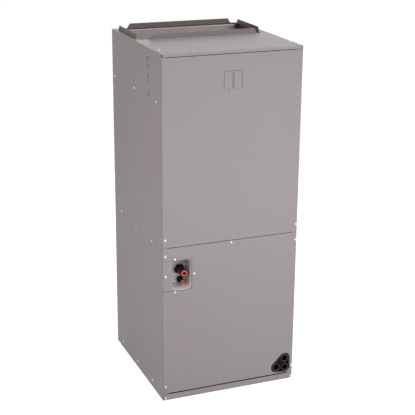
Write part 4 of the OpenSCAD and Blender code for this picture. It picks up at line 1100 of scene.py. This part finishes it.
# Sizes in x, y and z. Places are from the board's left lower corner, and a blade's from its socket's.
# Relays and sockets sink into the board by SINK.
BOARD = (120, 1.6, 96)
BOARD_BACK = 12
BOARD_EDGE = 0.5
SINK = 0.2
POST_IN = 8
POST_R = 3
POST_L = 10
POST_EDGE = 0.4
POST_STEPS = 16
CAN_R = 6
CAN_L = 14
CAN_X = 60
CAN_Z = 38
CAN_EDGE = 0.6
CAN_STEPS = 24
RELAYS = 3
RELAY = (24, 16.2, 24)
RELAY_X = 14
RELAY_Z = 56
RELAY_PITCH = 34
RELAY_EDGE = 1.2
SOCKETS = 4
SOCKET = (18, 9.2, 10)
SOCKET_X = 12
SOCKET_Z = 10
SOCKET_PITCH = 26
SOCKET_EDGE = 0.8
BLADES = 3
BLADE = (0.8, 8, 6.3)
BLADE_EDGE = 0.2
BLADE_IN = 2.5
BLADE_UP = 2
BLADE_OUT = 6
BLADE_PITCH = 5
BOX_RINGS = 8
BOX_STEPS = 12
AT_POLE = 1e-6


def soft_box(size, radius):
    """A box with round edges, its low corner at zero: each direction of a sphere, times the radius, is
    added to the box's inner corner of the same signs. The two poles lie in the middle of the ends."""
    half = np.array(size) / 2
    up = np.linspace(0, math.pi, BOX_RINGS)[:, None]
    turn = (np.arange(BOX_STEPS) + 0.5) * 2 * math.pi / BOX_STEPS
    way = np.stack([np.sin(up) * np.cos(turn), np.sin(up) * np.sin(turn), np.cos(up) + 0 * turn], -1)
    signs = np.where(np.abs(way) < AT_POLE, 0, np.sign(way))
    return half + signs * (half - radius) + way * radius


def boxes(name, finish, places, size, radius):
    """Equal soft boxes, each with its low corner at one of the places."""
    shape = Shape()
    shape.add((soft_box(size, radius) + np.array(places)[:, None, None]) * MM, wrap=True)
    return shape.make(name, finish, "control_board")


def stub(radius, length, edge, steps):
    """A closed round stub along Y, with a small bevel at its front."""
    profile = [(0, 0), (radius - edge, 0), (radius, edge), (radius, length), (0, length)]
    return turned(profile, steps) @ facing((0, 1, 0))


def make_control_board():
    """The board with its posts, three relays, four sockets with blades and a round capacitor."""
    low, high = in_mm(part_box("control_board"))
    left = low[0]
    front = high[1] - BOARD_BACK
    bottom = low[2]
    plate = boxes("printed_board", "circuit_green", [(left, front, bottom)], BOARD, BOARD_EDGE)
    shape = Shape()
    for x in (POST_IN, BOARD[0] - POST_IN):
        for z in (POST_IN, BOARD[2] - POST_IN):
            post = stub(POST_R, POST_L, POST_EDGE, POST_STEPS)
            shape.add((post + [left + x, front + BOARD[1], bottom + z]) * MM, wrap=True)
    can = stub(CAN_R, CAN_L, CAN_EDGE, CAN_STEPS)
    shape.add((can + [left + CAN_X, front - CAN_L, bottom + CAN_Z]) * MM, wrap=True)
    round_parts = shape.make("board_posts_and_capacitor", "can_metal", "control_board")
    places = [(left + RELAY_X + RELAY_PITCH * i, front + SINK - RELAY[1], bottom + RELAY_Z)
              for i in range(RELAYS)]
    relays = boxes("board_relays", "dark_parts", places, RELAY, RELAY_EDGE)
    places = [(left + SOCKET_X + SOCKET_PITCH * i, front + SINK - SOCKET[1], bottom + SOCKET_Z)
              for i in range(SOCKETS)]
    sockets = boxes("board_sockets", "white_nylon", places, SOCKET, SOCKET_EDGE)
    places = [(x + BLADE_IN + BLADE_PITCH * k, y - BLADE_OUT, z + BLADE_UP)
              for x, y, z in places for k in range(BLADES)]
    blades = boxes("board_blades", "zinc_screws", places, BLADE, BLADE_EDGE)
    for piece in (plate, round_parts, relays, sockets, blades):
        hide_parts("control_board")


# Floor, light and camera

# In metres, but for the floor's drop in mm. A lamp has its place, its size, its watts and its colour
FLOOR_HALF = 30.0
FLOOR_DROP = 0.5
FLOOR_GREY = 0.42
FLOOR_GLOW = 0.9
AMBIENT = 0.28
LAMP_AIM = (0, 0, 0.7)
LAMPS = {"key": ((0.45, -1.8, 0.6), 1.3, 15.6, (0.94, 0.99, 1.01)),
         "brow": ((1.1, -2.2, 2.6), 1.0, 18, (0.97, 0.99, 1.01)),
         "top": ((0.7, -0.3, 3.8), 2.2, 33, (0.96, 0.98, 1.05)),
         "fill": ((-1.45, -0.8, 1.0), 0.9, 6.4, (1.0, 0.95, 0.94)),
         "rear": ((0.06, 1.1, 1.6), 0.12, 0.1, (0.9, 0.95, 1.0)),
         "back": ((0.6, 2.6, 0.75), 1.2, 15, (1.0, 1.0, 1.0))}


class Surround(Tree):
    """The floor or the world: one shader lights the object, and another is what the camera and glossy or
    clear things see."""

    def __init__(self, owner):
        super().__init__(owner)
        self.tree.nodes.clear()

    def greatest(self, one, other):
        """The greater of two values."""
        return self.node("ShaderNodeMath", {"operation": "MAXIMUM"}, {0: one, 1: other}).outputs[0]

    def seen(self, hidden, shown, output):
        """Mixes the shader that lights the object and the one that is seen, and puts it out."""
        path = self.node("ShaderNodeLightPath", {}, {}).outputs
        sight = self.greatest(path["Is Camera Ray"], path["Is Glossy Ray"])
        sight = self.greatest(sight, path["Is Transmission Ray"])
        mix = self.node("ShaderNodeMixShader", {}, {0: sight, 1: hidden, 2: shown})
        self.node(output, {}, {"Surface": mix.outputs[0]})


def make_stage():
    """A white floor that keeps the object's shadow, a white surround, and soft lamps."""
    scene = bpy.context.scene
    scene.view_settings.view_transform = "Standard"

    mesh = bpy.data.meshes.new("floor")
    corners = [(x * FLOOR_HALF, y * FLOOR_HALF, 0) for x, y in ((-1, -1), (1, -1), (1, 1), (-1, 1))]
    mesh.from_pydata(corners, [], [(0, 1, 2, 3)])
    floor = bpy.data.objects.new("floor", mesh)
    floor.location.z = -FLOOR_DROP * MM
    scene.collection.objects.link(floor)
    material = bpy.data.materials.new("floor")
    mesh.materials.append(material)
    ground = Surround(material)
    shade = (FLOOR_GREY, FLOOR_GREY, FLOOR_GREY, 1)
    grey = ground.node("ShaderNodeBsdfDiffuse", {}, {"Color": shade}).outputs[0]
    glow = ground.node("ShaderNodeEmission", {}, {"Color": (1, 1, 1, 1), "Strength": FLOOR_GLOW}).outputs[0]
    both = ground.node("ShaderNodeAddShader", {}, {0: grey, 1: glow}).outputs[0]
    ground.seen(grey, both, "ShaderNodeOutputMaterial")

    world = bpy.data.worlds.new("surround")
    scene.world = world
    air = Surround(world)
    soft = air.node("ShaderNodeBackground", {}, {"Color": (1, 1, 1, 1), "Strength": AMBIENT}).outputs[0]
    white = air.node("ShaderNodeBackground", {}, {"Color": (1, 1, 1, 1), "Strength": 1.0}).outputs[0]
    air.seen(soft, white, "ShaderNodeOutputWorld")

    for name, (place, size, power, colour) in LAMPS.items():
        data = bpy.data.lights.new(name, "AREA")
        data.shape = "SQUARE"
        data.size = size
        data.energy = power
        data.color = colour
        lamp = bpy.data.objects.new(name, data)
        lamp.location = place
        aim = Vector(LAMP_AIM) - Vector(place)
        lamp.rotation_euler = aim.to_track_quat("-Z", "Y").to_euler()
        scene.collection.objects.link(lamp)


# Angles in degrees, distances in metres, the sensor in mm, the focal length in pixels of the photograph
CAMERA_AZIMUTH = -21.946
CAMERA_ELEVATION = 18.4725
CAMERA_ROLL = 0.4817
CAMERA_DISTANCE = 4.21696
CAMERA_TARGET = (0.0160, -0.0095, 0.6452)
SENSOR = 36.0
IMAGE = 415
FOCAL_PIXELS = 1088.515


def make_camera():
    """The photograph's view: an orbit angle round the target, turned a little about its own axis."""
    azimuth, elevation, roll = (math.radians(a) for a in (CAMERA_AZIMUTH, CAMERA_ELEVATION, CAMERA_ROLL))
    back = Vector((math.sin(azimuth) * math.cos(elevation), -math.cos(azimuth) * math.cos(elevation),
                   math.sin(elevation)))
    level = Vector((math.cos(azimuth), math.sin(azimuth), 0))
    above = back.cross(level)
    right = math.cos(roll) * level + math.sin(roll) * above
    up = math.cos(roll) * above - math.sin(roll) * level
    data = bpy.data.cameras.new("camera")
    data.sensor_width = SENSOR
    data.lens = FOCAL_PIXELS * SENSOR / IMAGE
    camera = bpy.data.objects.new("camera", data)
    bpy.context.scene.collection.objects.link(camera)
    turn = Matrix((right, up, back)).transposed().to_4x4()
    camera.matrix_world = Matrix.Translation(Vector(CAMERA_TARGET) + CAMERA_DISTANCE * back) @ turn
    bpy.context.scene.camera = camera


dress_nodes()
make_screws()
make_soft_edges()
make_line_plate()
make_stud()
make_grommet("suction_grommet", SUCTION_TUBE_R, SUCTION_BOOT, "suction_plug")
make_grommet("liquid_grommet", LIQUID_TUBE_R, LIQUID_BOOT, "liquid_plug")
make_plug("suction_plug", SUCTION_SKIRT_R, SUCTION_BLIND_R)
make_plug("liquid_plug", LIQUID_SKIRT_R, LIQUID_BLIND_R)
make_boss_edges()
make_shade_strips()
make_fin_pack("coil_slab_left", -1)
make_fin_pack("coil_slab_right", 1)
make_coil_tubes()
make_control_board()
make_stage()
make_camera()
